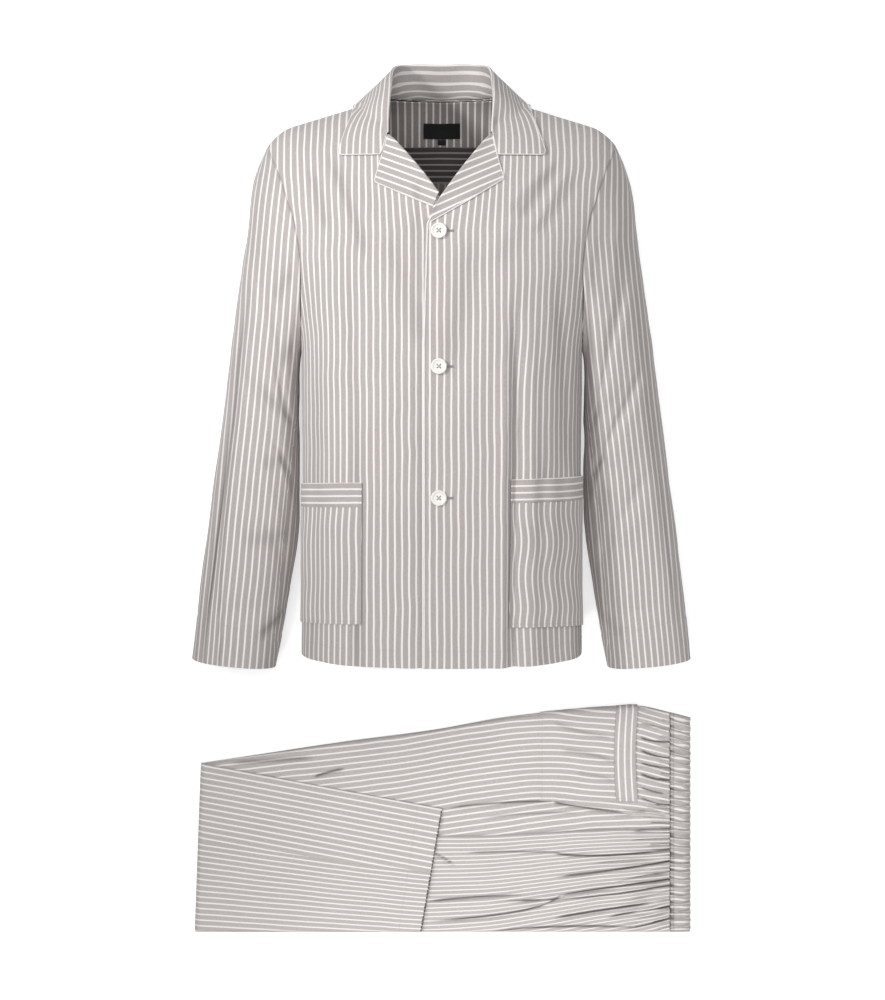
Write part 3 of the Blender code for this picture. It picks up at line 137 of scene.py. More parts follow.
LEG_CREASES = {
    "x0": (0.000, 0.140, 0.060, 0.130, 0.000, -0.180),
    "y0": (-0.4270, -0.4200, -0.5000, -0.5430, -0.5850, -0.3830),
    "x1": (0.150, 0.305, 0.305, 0.305, 0.250, -0.140),
    "y1": (-0.4180, -0.4360, -0.4950, -0.5080, -0.5520, -0.3720),
    "breadth": (0.0045, 0.0050, 0.0060, 0.0060, 0.0050, 0.0060),
    "height": (-0.0010, -0.0014, -0.0016, -0.0018, -0.0016, -0.0010)}
FOLDED = {"left_top": (-0.3345, -0.3635), "left_foot": (-0.3430, -0.5980),
          "hem_top": (-0.0005, -0.4265), "hem_foot": (-0.0300, -0.5980),
          "seam_left": (-0.3385, -0.4690), "seam_hem": (-0.0155, -0.5145)}
FOLDED_CLOTH, FOLDED_TOP, FOLDED_LENGTH, FOLDED_INSET = 0.0026, 0.0138, 0.320, 0.0060
FOLDED_FADE = (-0.042, -0.030)
FOLD_CURL, FOLD_SWELL, SWELL_REACH, FOLD_FOOT_Z = 0.010, 0.0020, 0.030, 0.0032
LEG_POCKET = {"trousers_pocket": (0.1345, 0.2396), "trousers_pocket_band": (0.2400, 0.2695)}
LEG_POCKET_FOOT, LEG_POCKET_BOW = -0.4160, 0.0030

# --- sizes of the looks ----------------------------------------------------------------------

CLOTH, BAND_CLOTH, FOLDED_LEG_CLOTH = 0.0011, 0.0014, 0.0014    # what an edge shows
PITCH, LEG_PITCH = 0.0093, 0.00835      # of the stripes; the trousers are shown smaller
COLLAR_PITCH, BAND_PITCH, YOKE_PITCH, FACING_PITCH = PITCH * 0.96, 0.0088, 0.0083, 0.0098
WHITE_SHARE = 0.265                     # of the pitch that is white
YARN = (0.00052, 0.00058)               # spacing of the threads across and along
GROUND, WHITE = (0.460, 0.420, 0.408), (0.860, 0.825, 0.805)
# painted shade: the cloth's colours as they look in the shade inside the neck, a darker ground and
# harder contrast
PAINTED_SHADE_GROUND, PAINTED_SHADE_WHITE = (0.370, 0.328, 0.315), (0.950, 0.915, 0.895)     # harder in the shade
# painted light: the same cloth's colours made lighter on the trousers, which stand in brighter light
TROUSERS_GROUND_PAINTED_LIGHT, TROUSERS_WHITE_PAINTED_LIGHT = (0.530, 0.489, 0.475), (0.900, 0.868, 0.848)
# painted shade: the dark colour that the cloth is mixed towards in its folds and seams
PAINTED_FOLD_SHADE = (0.055, 0.045, 0.042)
FRONT_LENGTH, FRONT_BREADTH, HEM_TURN = 0.812, 0.24, 0.022
SLEEVE_LENGTH, SLEEVE_ROUND, CUFF_TURN = 0.66, 0.42, 0.050
WAIST_LENGTH, STITCH_RADIUS = 0.316, 0.00020

# Folds over the solids' own creases, in the jacket's plan: from, to, half breadth and height
FRONT_FOLDS = {
    "x0": (-0.146, -0.158, -0.172, 0.156, 0.170, 0.184, 0.140, 0.096, -0.118, -0.112, 0.118,
           0.086, 0.132, -0.070, 0.040, 0.150, -0.165),
    "y0": (0.455, 0.452, 0.436, 0.446, 0.440, 0.428, 0.430, 0.300, 0.300, 0.290, 0.250,
           0.300, 0.100, 0.345, 0.350, 0.290, 0.200),
    "x1": (-0.098, -0.118, -0.150, 0.102, 0.118, 0.128, 0.090, 0.090, -0.110, -0.128, 0.116,
           0.078, 0.136, -0.020, 0.010, 0.168, -0.172),
    "y1": (0.318, 0.340, 0.352, 0.366, 0.352, 0.346, 0.372, -0.240, -0.250, -0.250, -0.250,
           -0.240, -0.250, 0.200, 0.160, 0.040, -0.240),
    "breadth": (0.0075, 0.0085, 0.0070, 0.0070, 0.0070, 0.0075, 0.0060, 0.0070, 0.0085, 0.0090, 0.0080,
                0.0090, 0.0090, 0.0140, 0.0140, 0.0080, 0.0070),
    "height": (-0.0024, 0.0018, -0.0018, -0.0026, 0.0020, -0.0014, -0.0015, -0.0022, -0.0030, 0.0020,
               0.0022, 0.0020, -0.0020, -0.0012, -0.0012, -0.0014, -0.0014)}
PRESS_Y = {"y": (0.3470, 0.1380), "depth": (0.0005, 0.0003)}    # lines where it was once folded
# Along the sleeve (share) and round it (turn): from, to, half breadth in turns and height
SLEEVE_FOLDS = {
    "x0": (0.26, 0.30, 0.04, 0.08, 0.12, 0.30, 0.44, 0.52, 0.66, 0.86, 0.82, 0.20),
    "y0": (0.125, 0.185, 0.30, 0.16, 0.40, 0.42, 0.40, 0.22, 0.42, 0.47, 0.44, 0.25),
    "x1": (0.94, 0.92, 0.18, 0.22, 0.26, 0.40, 0.56, 0.66, 0.74, 0.93, 0.90, 0.34),
    "y1": (0.120, 0.175, 0.24, 0.26, 0.30, 0.24, 0.26, 0.36, 0.24, 0.34, 0.30, 0.34),
    "breadth": (0.016, 0.020, 0.016, 0.016, 0.018, 0.018, 0.018, 0.018, 0.018, 0.016, 0.020, 0.016),
    "height": (-0.0036, 0.0018, -0.0018, 0.0016, -0.0020, -0.0022, -0.0018, 0.0016, -0.0016, -0.0032,
               0.0020, -0.0016)}
# The trousers' gathers and folds: each a line of three places in plan, half breadth and depth
LEG_FOLDS = (
    ((0.149, -0.487), (0.212, -0.492), (0.314, -0.484), 0.0026, 0.0030),
    ((0.149, -0.522), (0.240, -0.511), (0.316, -0.499), 0.0024, 0.0032),
    ((0.149, -0.549), (0.215, -0.538), (0.314, -0.524), 0.0024, 0.0032),
    ((0.060, -0.553), (0.190, -0.550), (0.314, -0.532), 0.0022, 0.0026),
    ((0.149, -0.579), (0.215, -0.568), (0.296, -0.556), 0.0026, 0.0032),
    ((0.222, -0.578), (0.268, -0.569), (0.317, -0.562), 0.0024, 0.0028),
    ((0.250, -0.594), (0.294, -0.584), (0.314, -0.577), 0.0024, 0.0026),
    ((-0.024, -0.556), (0.030, -0.550), (0.110, -0.546), 0.0026, 0.0024),
    ((-0.030, -0.583), (0.100, -0.570), (0.162, -0.548), 0.0026, 0.0026),
    ((-0.014, -0.487), (0.004, -0.496), (0.014, -0.504), 0.0028, 0.0020),
    ((0.027, -0.488), (0.090, -0.486), (0.162, -0.487), 0.0026, 0.0016),
    ((0.149, -0.458), (0.200, -0.4545), (0.241, -0.4515), 0.0022, 0.0018),
    ((0.262, -0.456), (0.290, -0.4545), (0.309, -0.452), 0.0020, 0.0020),
    ((0.060, -0.598), (0.150, -0.590), (0.260, -0.590), 0.0028, 0.0022),
    ((0.200, -0.503), (0.260, -0.497), (0.316, -0.490), 0.0020, 0.0018),
    ((0.230, -0.530), (0.270, -0.521), (0.316, -0.513), 0.0020, 0.0020),
    ((0.000, -0.4270), (0.076, -0.4190), (0.150, -0.4165), 0.0028, 0.0022),
    ((0.152, -0.4165), (0.184, -0.4235), (0.262, -0.4340), 0.0026, 0.0026),
    ((0.240, -0.4260), (0.275, -0.4310), (0.308, -0.4365), 0.0022, 0.0020),
    ((0.040, -0.4400), (0.130, -0.4330), (0.200, -0.4330), 0.0030, 0.0012),
    ((-0.180, -0.3840), (-0.160, -0.3770), (-0.136, -0.3715), 0.0034, 0.0022),
    ((-0.300, -0.3640), (-0.240, -0.3600), (-0.180, -0.3560), 0.0060, 0.0014),
    ((0.150, -0.3050), (0.185, -0.3180), (0.236, -0.3280), 0.0050, 0.0014),
    ((0.160, -0.3460), (0.200, -0.3500), (0.238, -0.3620), 0.0050, 0.0016),
    ((0.180, -0.3760), (0.210, -0.3800), (0.238, -0.3880), 0.0050, 0.0012))
HIP_FOLDS = (
    ((0.271, -0.3080), (0.290, -0.3120), (0.314, -0.3160), 0.0022, 0.0020),
    ((0.271, -0.3270), (0.290, -0.3330), (0.314, -0.3350), 0.0022, 0.0026),
    ((0.271, -0.3440), (0.292, -0.3530), (0.314, -0.3560), 0.0024, 0.0030),
    ((0.271, -0.3620), (0.292, -0.3680), (0.314, -0.3700), 0.0022, 0.0026),
    ((0.271, -0.3770), (0.292, -0.3850), (0.314, -0.3880), 0.0024, 0.0030),
    ((0.271, -0.3960), (0.292, -0.4030), (0.314, -0.4060), 0.0022, 0.0028),
    ((0.271, -0.4100), (0.292, -0.4180), (0.314, -0.4220), 0.0022, 0.0022))
# How steeply the short gathers beside the waistband rise, by where they reach it
PINCH_RISE = {"y": (-0.590, -0.500, -0.440, -0.300), "slope": (0.28, 0.12, -0.06, -0.16)}


# --- small tools -----------------------------------------------------------------------------

def along(table, key, column, at):
    """A smooth curve through a table's named column, by the cubic Hermite rule."""
    knots = np.asarray(table[key], float)
    values = np.asarray(table[column], float)
    slopes = np.gradient(values, knots, axis=0)
    at = np.clip(np.asarray(at, float), knots[0], knots[-1])
    k = np.clip(np.searchsorted(knots, at, side="right") - 1, 0, len(knots) - 2)
    step = knots[k + 1] - knots[k]
    s = (at - knots[k]) / step
    if values.ndim > 1:
        s, step = s[..., None], step[..., None]
    return ((2 * s**3 - 3 * s**2 + 1) * values[k] + (s**3 - 2 * s**2 + s) * step * slopes[k]
            + (3 * s**2 - 2 * s**3) * values[k + 1] + (s**3 - s**2) * step * slopes[k + 1])


def ease(low, high, at):
    s = np.clip((at - low) / (high - low), 0, 1)
    return s * s * (3 - 2 * s)


def bell(distance, breadth):
    return np.exp(-(distance / breadth) ** 2)


def unit(vectors):
    return vectors / np.maximum(np.linalg.norm(vectors, axis=-1, keepdims=True), 1e-12)


def local(points, side=1):
    """Plan places in the jacket's own frame, x from the centre line towards that side."""
    return side * (points[..., 0] - CENTRE_X), points[..., 1] - SHIFT_Y


def in_frame(x, y, z, side=1):
    return np.stack([CENTRE_X + side * x, y + SHIFT_Y, z], axis=-1)


def creased(table, x, y):
    """The height that a table of soft creases adds at a place."""
    total = np.zeros(np.broadcast(x, y).shape)
    columns = (table[name] for name in ("x0", "y0", "x1", "y1", "breadth", "height"))
    for x0, y0, x1, y1, breadth, height in zip(*columns):
        run = math.hypot(x1 - x0, y1 - y0)
        share = ((x - x0) * (x1 - x0) + (y - y0) * (y1 - y0)) / run**2
        off = ((x - x0) * (y1 - y0) - (y - y0) * (x1 - x0)) / run
        fade = ease(*CREASE_IN, share) * (1 - ease(*CREASE_OUT, share))
        total = total + height * fade * bell(off, breadth)
    return total


def noise(x, y, cell, seed):
    """Smooth noise from -1 to 1 over cells of this size, the same in each run."""
    x, y = np.broadcast_arrays(np.asarray(x, float) / cell, np.asarray(y, float) / cell)
    i, j = np.floor(x).astype(np.int64), np.floor(y).astype(np.int64)
    fx, fy = x - i, y - j
    fx, fy = (f**3 * (f * (6 * f - 15) + 10) for f in (fx, fy))

    def corner(a, b):
        n = (a * 374761393 + b * 668265263 + seed * 144665) & 0x7FFFFFFF
        n = ((n ^ (n >> 13)) * 1274126177) & 0x7FFFFFFF
        return (n ^ (n >> 16)) / 0x3FFFFFFF - 1

    low = corner(i, j) + (corner(i + 1, j) - corner(i, j)) * fx
    high = corner(i, j + 1) + (corner(i + 1, j + 1) - corner(i, j + 1)) * fx
    return low + (high - low) * fy


def from_line(points, x, y):
    """Distance from a bent line in plan, and the share along it of the nearest place."""
    nearest, share = np.full(x.shape, 1e9), np.zeros(x.shape)
    count = len(points) - 1
    for k in range(count):
        (x0, y0), (x1, y1) = points[k], points[k + 1]
        run = (x1 - x0) ** 2 + (y1 - y0) ** 2
        s = np.clip(((x - x0) * (x1 - x0) + (y - y0) * (y1 - y0)) / run, 0, 1)
        d = np.hypot(x - x0 - s * (x1 - x0), y - y0 - s * (y1 - y0))
        share = np.where(d < nearest, (k + s) / count, share)
        nearest = np.minimum(nearest, d)
    return nearest, share


def smooth_line(a, b, c):
    """A curve through three places."""
    a, b, c = np.array(a), np.array(b), np.array(c)
    s = np.linspace(0, 1, 8)[:, None]
    return (1 - s) ** 2 * a + 2 * s * (1 - s) * (2 * b - (a + c) / 2) + s**2 * c


# --- the jacket's body -----------------------------------------------------------------------

def body_width(y):
    return along(BODY_WIDTH, "y", "half", y)


def shoulder_y(x):
    past = np.clip(x - SHOULDER_DROP_X, 0, None) / (SHOULDER_X - SHOULDER_DROP_X)
    line = NECK_Y - SHOULDER_SLOPE * (x - NECK_X) - SHOULDER_DROP * past**2
    s = np.clip(x / NECK_X, 0, 1)
    level = NECK_Y + CENTRE_RISE * (1 - 3 * s**2 + 2 * s**3)
    return np.where(x < NECK_X, level - SHOULDER_SLOPE * NECK_X * (s**3 - s**2), line)


def back_top_y(x):
    neck = BACK_NECK_Y - (BACK_NECK_Y - NECK_Y) * (x / NECK_X) ** 2
    return np.where(x < NECK_X, neck, shoulder_y(x))


def fullness(face, x, y):
    reach, power = FULL[face]
    s = np.clip((shoulder_y(np.abs(x)) - y) / reach, 0, 1)
    return (1 - (1 - s) ** power) ** (1 / power)


def section(face, x, y):
    """The rounded oblong that the body's half is across: 1 at the middle, 0 at its sides."""
    power = POWER[face]
    return (1 - np.clip(np.abs(x) / body_width(y), 0, 1) ** power) ** (1 / power)


def front_z(side, x, y):
    across, full = section("front", x, y), fullness("front", x, y)
    depth = HEM_DEPTH + (FRONT_DEPTH - HEM_DEPTH) * ease(-0.15, 0.25, y)
    folds = creased(FRONT_CREASES, side * x, y) * ease(0.0, 0.35, across) * ease(0, 0.5, full)
    z = SEAM_Z + depth * across * full + folds
    if side < 0:
        z = z - LAP_DROP * (1 - ease(*LAP_FADE_X, x)) * (1 - ease(*LAP_FADE_Y, y))
    return z


def back_z(x, y):
    depth = BACK_DEPTH * section("back", x, y) * fullness("back", x, y)
    return np.clip(SEAM_Z - depth, 0, None)


def front_inner(side, t):
    stops = (0, UNDERARM_T, LAP_TOP_T, BREAK_T, ROLL_TOP_T, 1)
    x = np.interp(t, stops, (-LAP, -LAP, -LAP_TOP, BREAK_X, ROLL_TOP_X[side], NECK_X))
    y = np.interp(t, stops, (HEM_Y, UNDERARM_Y, LAP_TOP_Y, BREAK_Y, ROLL_TOP_Y, NECK_Y))
    return x, y


def outer_edge(face, t):
    level = {"front": 0.402, "back": 0.425}[face]
    y = np.interp(t, (0, UNDERARM_T, YOKE_T, 1), (HEM_Y, UNDERARM_Y, level, SHOULDER_Y))
    return np.where(t < UNDERARM_T, HALF_WIDTH, along(ARMHOLE, "y", face, y)), y


def panel_plan(face, inner, top_y, u, t):
    power = POWER[face]
    x_in, y_in = inner(t)
    x_out, y_out = outer_edge(face, t)
    turns = [np.sign(x) * np.arcsin(np.clip(np.abs(x) / body_width(y), 0, 1) ** (power / 2))
             for x, y in ((x_in, y_in), (x_out, y_out))]
    turn = turns[0] + (turns[1] - turns[0]) * u
    y_row = y_in + (y_out - y_in) * u
    y_end = inner(np.ones_like(t))[1] * (1 - u) + SHOULDER_Y * u
    y = y_row
    for _ in range(6):
        x = np.sign(turn) * body_width(y) * np.abs(np.sin(turn)) ** (2 / power)
        y = y_row + (top_y(np.abs(x)) - y_end) * t**6
    return x, y


def placed(side, x, y, z, t):
    return in_frame(x, y - HEM_TILT * (z - SEAM_Z) * (1 - ease(0, HEM_FADE, t)), z, side)


def front_point(side, u, t):
    u, t = np.broadcast_arrays(np.asarray(u, float), np.asarray(t, float))
    x, y = panel_plan("front", lambda s: front_inner(side, s), shoulder_y, u, t)
    return placed(side, x, y, front_z(side, x, y), t)


def back_inner(t):
    stops = (0, UNDERARM_T, YOKE_T, 1)
    return 0 * t, np.interp(t, stops, (HEM_Y, UNDERARM_Y, 0.4385, BACK_NECK_Y))


def back_point(u, t):
    u, t = np.broadcast_arrays(np.asarray(u, float), np.asarray(t, float))
    x, y = panel_plan("back", back_inner, back_top_y, np.abs(u), t)
    return placed(np.sign(u), x, y, back_z(x, y), t)


def normals_of(surface, u, t, u_low=0.0, step=0.0006):
    du = surface(np.minimum(u + step, 1), t) - surface(np.maximum(u - step, u_low), t)
    dt = surface(u, np.minimum(t + step, 1)) - surface(u, np.maximum(t - step, 0))
    return unit(np.cross(du, dt))


def grid_normals(points, ring=False):
    across = (np.roll(points, -1, axis=1) - np.roll(points, 1, axis=1) if ring
              else np.gradient(points, axis=1))
    return unit(np.cross(across, np.gradient(points, axis=0)))


# --- materials -------------------------------------------------------------------------------

class Nodes:
    """A material's node tree, built by short calls."""

    def __init__(self, name):
        self.material = bpy.data.materials.new(name)
        self.material.use_nodes = True
        self.tree = self.material.node_tree
        self.shader = self.tree.nodes["Principled BSDF"]

    def put(self, socket, value):
        if isinstance(value, bpy.types.NodeSocket):
            self.tree.links.new(value, socket)
        else:
            socket.default_value = value

    def add(self, kind, inputs=(), output=0, **settings):
        node = self.tree.nodes.new(kind)
        for name, value in settings.items():
            setattr(node, name, value)
        for key, value in dict(inputs).items():
            self.put(node.inputs[key], value)
        return node.outputs[output]

    def math(self, operation, a, b=0.0, c=0.0):
        return self.add("ShaderNodeMath", {0: a, 1: b, 2: c}, operation=operation)

    def step(self, value, low, high, start=0.0, end=1.0):
        return self.add("ShaderNodeMapRange", {"Value": value, "From Min": low, "From Max": high,
                                               "To Min": start, "To Max": end},
                        interpolation_type="SMOOTHSTEP")

    def noise(self, place, scale=1.0, detail=2.0, roughness=0.5):
        return self.add("ShaderNodeTexNoise", {"Vector": place, "Scale": scale, "Detail": detail,
                                               "Roughness": roughness})

    def scaled(self, place, across, length):
        """A place in the cloth, multiplied so that noise there runs long or broad."""
        return self.add("ShaderNodeVectorMath", {0: place, 1: (across, length, 1)},
                        operation="MULTIPLY")

    def mix(self, share, a, b, kind="MIX"):
        node = self.tree.nodes.new("ShaderNodeMix")
        node.data_type, node.blend_type = "RGBA", kind
        for index, value in ((0, share), (6, a), (7, b)):
            self.put(node.inputs[index], value)
        return node.outputs[2]

    def bump(self, height, strength, distance, **below):
        return self.add("ShaderNodeBump", {"Height": height, "Strength": strength,
                                           "Distance": distance, **below})

    def shaded(self, sockets):
        """The material, with these values or links on its shader."""
        for name, value in sockets.items():
            self.put(self.shader.inputs[name], value)
        return self.material


def times(colour, by=1.0):
    return (*(min(1, c * by) for c in colour), 1)


def cotton(name, pitch, ground, white, dark=1.0):
    """Poplin with white stripes across the first coordinate of its cloth map, in metres."""
    n = Nodes(name)
    cloth = n.add("ShaderNodeUVMap", uv_map="cloth")
    across, length = n.add("ShaderNodeSeparateXYZ", {0: cloth}).node.outputs[:2]
    wander = n.math("MULTIPLY_ADD", n.noise(n.scaled(cloth, 60, 9)), 0.06, -0.03)
    phase = n.math("ADD", n.math("DIVIDE", across, pitch), n.math("ADD", wander, 0.5))
    off = n.math("ABSOLUTE", n.math("SUBTRACT", n.math("FRACT", phase), 0.5))
    stripe = n.step(off, WHITE_SHARE / 2 - 0.022, WHITE_SHARE / 2 + 0.030, 1.0, 0.0)

    warp = n.noise(n.scaled(cloth, 2600, 260), roughness=0.6)
    weft = n.noise(n.scaled(cloth, 220, 2200), roughness=0.6)
    slub = n.math("ADD", n.math("MULTIPLY", warp, 0.55), n.math("MULTIPLY", weft, 0.45))
    mottle = n.noise(n.scaled(cloth, 16, 11), detail=3.0, roughness=0.55)
    tone = n.mix(n.step(slub, 0.30, 0.70), times(ground, 0.80), times(ground, 1.20))
    tone = n.mix(n.step(mottle, 0.25, 0.75, 0.0, 0.35), tone, times(ground, 0.88))
    pale = n.mix(n.step(slub, 0.30, 0.70), times(white, 0.94), times(white))
    # painted shade: the fold attribute mixes the colour towards the painted fold shade colour
    fold = n.math("MULTIPLY", n.add("ShaderNodeAttribute", output=2, attribute_name="fold"), 0.85)
    colour = n.mix(fold, n.mix(stripe, tone, pale), (*PAINTED_FOLD_SHADE, 1))
    # painted shade: dark multiplies the whole colour down, for the inside faces of the jacket
    if dark < 1:
        colour = n.mix(1.0, colour, (dark, dark * 0.96, dark * 0.95, 1), "MULTIPLY")

    yarn = n.math("MULTIPLY", n.math("SINE", n.math("MULTIPLY", across, 2 * math.pi / YARN[0])),
                  n.math("SINE", n.math("MULTIPLY", length, 2 * math.pi / YARN[1])))
    weave = n.math("ADD", n.math("MULTIPLY", yarn, 0.35),
                   n.math("ADD", slub, n.math("MULTIPLY", stripe, 0.25)))
    crinkle = n.bump(n.noise(n.scaled(cloth, 95, 42), detail=3.0), 0.55, 0.0008)
    return n.shaded({"Base Color": colour, "Roughness": n.step(slub, 0.2, 0.8, 0.78, 0.92),
                     "Normal": n.bump(weave, 0.45, 0.00009, Normal=crinkle),
                     "Sheen Weight": 0.18, "Sheen Roughness": 0.55, "Specular IOR Level": 0.28})


def thread(name, colour):
    n = Nodes(name)
    ply = n.noise(n.add("ShaderNodeTexCoord", output=3), 2600.0)
    return n.shaded({"Base Color": n.mix(n.step(ply, 0.3, 0.7), times(colour, 0.82), times(colour)),
                     "Roughness": n.step(ply, 0.2, 0.8, 0.55, 0.75), "Sheen Weight": 0.25})


def plastic(name, colour):
    """Button plastic with a faint cloudy grain."""
    n = Nodes(name)
    place = n.add("ShaderNodeTexCoord", output=3)
    cloud = n.noise(place, 160.0, 4.0, 0.6)
    tone = n.mix(n.step(cloud, 0.3, 0.75), times(colour, 0.93), times(colour))
    return n.shaded({"Base Color": tone, "Roughness": n.step(cloud, 0.3, 0.7, 0.26, 0.42),
                     "Normal": n.bump(n.noise(place, 1400.0, 3.0), 0.12, 0.00008),
                     "Subsurface Weight": 0.12, "Subsurface Radius": (0.002, 0.002, 0.0018)})


def satin(name, colour):
    """A bare woven label: fine floats across it and a dull gloss."""
    n = Nodes(name)
    cloth = n.add("ShaderNodeUVMap", uv_map="cloth")
    weave = n.noise(n.scaled(cloth, 700, 5200), roughness=0.6)
    tone = n.mix(n.step(weave, 0.3, 0.7), times(colour, 0.6), times(colour, 1.5))
    return n.shaded({"Base Color": tone, "Roughness": n.step(weave, 0.2, 0.8, 0.42, 0.62),
                     "Normal": n.bump(weave, 0.5, 0.00006), "Sheen Weight": 0.1})


COTTON = cotton("striped cotton", PITCH, GROUND, WHITE)
COLLAR_COTTON = cotton("striped cotton, collar", COLLAR_PITCH, GROUND, WHITE)
BAND_COTTON = cotton("striped cotton, bands", BAND_PITCH, GROUND, WHITE)
# painted shade: the neck facing in the cloth's shaded colours
FACING_COTTON = cotton("striped cotton, neck facing", FACING_PITCH, PAINTED_SHADE_GROUND, PAINTED_SHADE_WHITE)
YOKE_COTTON = cotton("striped cotton, yoke", YOKE_PITCH, GROUND, WHITE)
# painted shade: the cloth's inner faces darkened for the shade inside the jacket
INSIDE_COTTON_PAINTED_SHADE = cotton("striped cotton with painted shade, reverse", PITCH, GROUND, WHITE, 0.60)
# painted shade: the yoke's inside, much darker again, for the deep shade inside the neck
YOKE_INSIDE_PAINTED_SHADE = cotton("striped cotton with painted shade, reverse of the yoke", YOKE_PITCH,
                      tuple(0.62 * c for c in PAINTED_SHADE_GROUND), PAINTED_SHADE_WHITE, 0.44)
# painted light: the trousers' cotton in the lighter colours
LEG_COTTON = cotton("striped cotton, trousers", LEG_PITCH, TROUSERS_GROUND_PAINTED_LIGHT, TROUSERS_WHITE_PAINTED_LIGHT)
LEG_BAND_COTTON = cotton("striped cotton, trousers band", BAND_PITCH, TROUSERS_GROUND_PAINTED_LIGHT, TROUSERS_WHITE_PAINTED_LIGHT)
EDGE_THREAD = thread("white edging", (0.86, 0.83, 0.81))
# painted shade: a grey line standing for the shade in the buttonholes' slits
SLIT_SHADE_LINE = thread("grey slit line, painted shade", (0.24, 0.225, 0.22))
BUTTON_THREAD = thread("button thread", (0.52, 0.50, 0.485))
# hem thread, near black as a painted shadow in the gap at the folded leg's hem
HEM_STITCH_AND_SHADOW = thread("hem thread darkened as painted shadow", (0.10, 0.092, 0.09))
SEAM_THREAD = thread("seam thread", (0.40, 0.37, 0.36))
BUTTON_PLASTIC = plastic("white button", (0.86, 0.84, 0.80))
LABEL_SATIN = satin("black label", (0.012, 0.012, 0.012))


# --- meshes ----------------------------------------------------------------------------------


def mesh_object(name, points, faces, material, uvs=None, sharp=50):
    mesh = bpy.data.meshes.new(name)
    faces = faces.tolist() if isinstance(faces, np.ndarray) else faces
    mesh.from_pydata(points.tolist(), [], faces)
    if uvs is not None:
        layer = mesh.uv_layers.new(name="cloth")
        layer.data.foreach_set("uv", np.asarray(uvs, np.float32).ravel())
    mesh.shade_smooth()
    mesh.set_sharp_from_angle(angle=math.radians(sharp))
    mesh.materials.append(material)
    made = bpy.data.objects.new(name, mesh)
    bpy.context.scene.collection.objects.link(made)
    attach(made, "root")
    return made


def shell(name, outer, inner, cloth, material, cloth_after=None, split=None,
          fold=None, reverse=None):
    """A closed wall between two grids of points. cloth is each point's place in the cloth. A ring's
    has one column more than its points, and cloth_after takes over from the split column. fold is
    each point's painted shade, deepest in folds and seams, and reverse the material of the inner face."""
    rows, columns = outer.shape[:2]
    ring = cloth.shape[1] > columns
    last = columns if ring else columns - 1
    count = rows * columns
    faces, uvs = [], []

    def add(turn, column, *corners):
        """Quads whose corners are (layer, row, column), and their places in the cloth."""
        quads = [layer * count + a * columns + b % columns for layer, a, b in corners]
        places = [cloth[a, b] if cloth_after is None else
                  np.where((column >= split)[:, None], cloth_after[a, b], cloth[a, b])
                  for _, a, b in corners]
        faces.append(np.stack(quads, axis=1)[:, ::turn])
        uvs.append(np.stack(places, axis=1)[:, ::turn])

    i, j = (k.ravel() for k in np.meshgrid(np.arange(rows - 1), np.arange(last), indexing="ij"))
    for k, turn in ((0, 1), (1, -1)):
        add(turn, j, (k, i, j), (k, i, j + 1), (k, i + 1, j + 1), (k, i + 1, j))
    b = np.arange(last)
    for row, turn in ((0, 1), (rows - 1, -1)):
        a = np.full(last, row)
        add(turn, b, (1, a, b), (1, a, b + 1), (0, a, b + 1), (0, a, b))
    a = np.arange(rows - 1)
    for column, turn in () if ring else ((0, 1), (last, -1)):
        b = np.full(rows - 1, column)
        add(turn, b, (0, a, b), (0, a + 1, b), (1, a + 1, b), (1, a, b))
    faces, uvs = np.concatenate(faces), np.concatenate(uvs)
    points = np.concatenate([outer.reshape(-1, 3), inner.reshape(-1, 3)])
    a, b, c, d = (points[faces[:, k]] for k in range(4))
    if np.sum(np.cross(c - a, d - b) * (a + b + c + d)) < 0:
        faces, uvs = faces[:, ::-1], uvs[:, ::-1]
    made = mesh_object(name, points, faces, material, uvs)
    # the fold attribute: each outer point's painted shade, none on the inner face
    deep = np.zeros(len(points), np.float32)
    if fold is not None:
        deep[:count] = np.clip(fold, 0, 1).ravel()
    made.data.attributes.new("fold", "FLOAT", "POINT").data.foreach_set("value", deep)
    if reverse is not None:
        made.data.materials.append(reverse)
        index = np.zeros(len(faces), np.int32)
        index[len(i):2 * len(i)] = 1
        made.data.polygons.foreach_set("material_index", index)
    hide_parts(name)
    return made


def steps_along(points, axis):
    """Length from the first point, along one axis of a grid."""
    runs = np.linalg.norm(np.diff(points, axis=axis), axis=-1)
    return np.concatenate([np.zeros_like(np.take(runs, [0], axis)), np.cumsum(runs, axis)], axis)


def on_grid(grid, rows, columns):
    """Points of a grid at fractional rows and columns."""
    rows, columns = np.broadcast_arrays(np.asarray(rows, float), np.asarray(columns, float))
    i = np.clip(np.floor(rows).astype(int), 0, grid.shape[0] - 2)
    j = np.clip(np.floor(columns).astype(int), 0, grid.shape[1] - 2)
    a, b = (rows - i)[..., None], (columns - j)[..., None]
    return ((grid[i, j] * (1 - b) + grid[i, j + 1] * b) * (1 - a)
            + (grid[i + 1, j] * (1 - b) + grid[i + 1, j + 1] * b) * a)


def spaced(path, step, offset=0.0):
    """Places at equal steps along a path, with their normals if the path has six columns."""
    run = np.concatenate([[0], np.cumsum(np.linalg.norm(np.diff(path[:, :3], axis=0), axis=1))])
    at = np.arange(offset, run[-1], step)
    return np.stack([np.interp(at, run, path[:, k]) for k in range(path.shape[1])], axis=1)


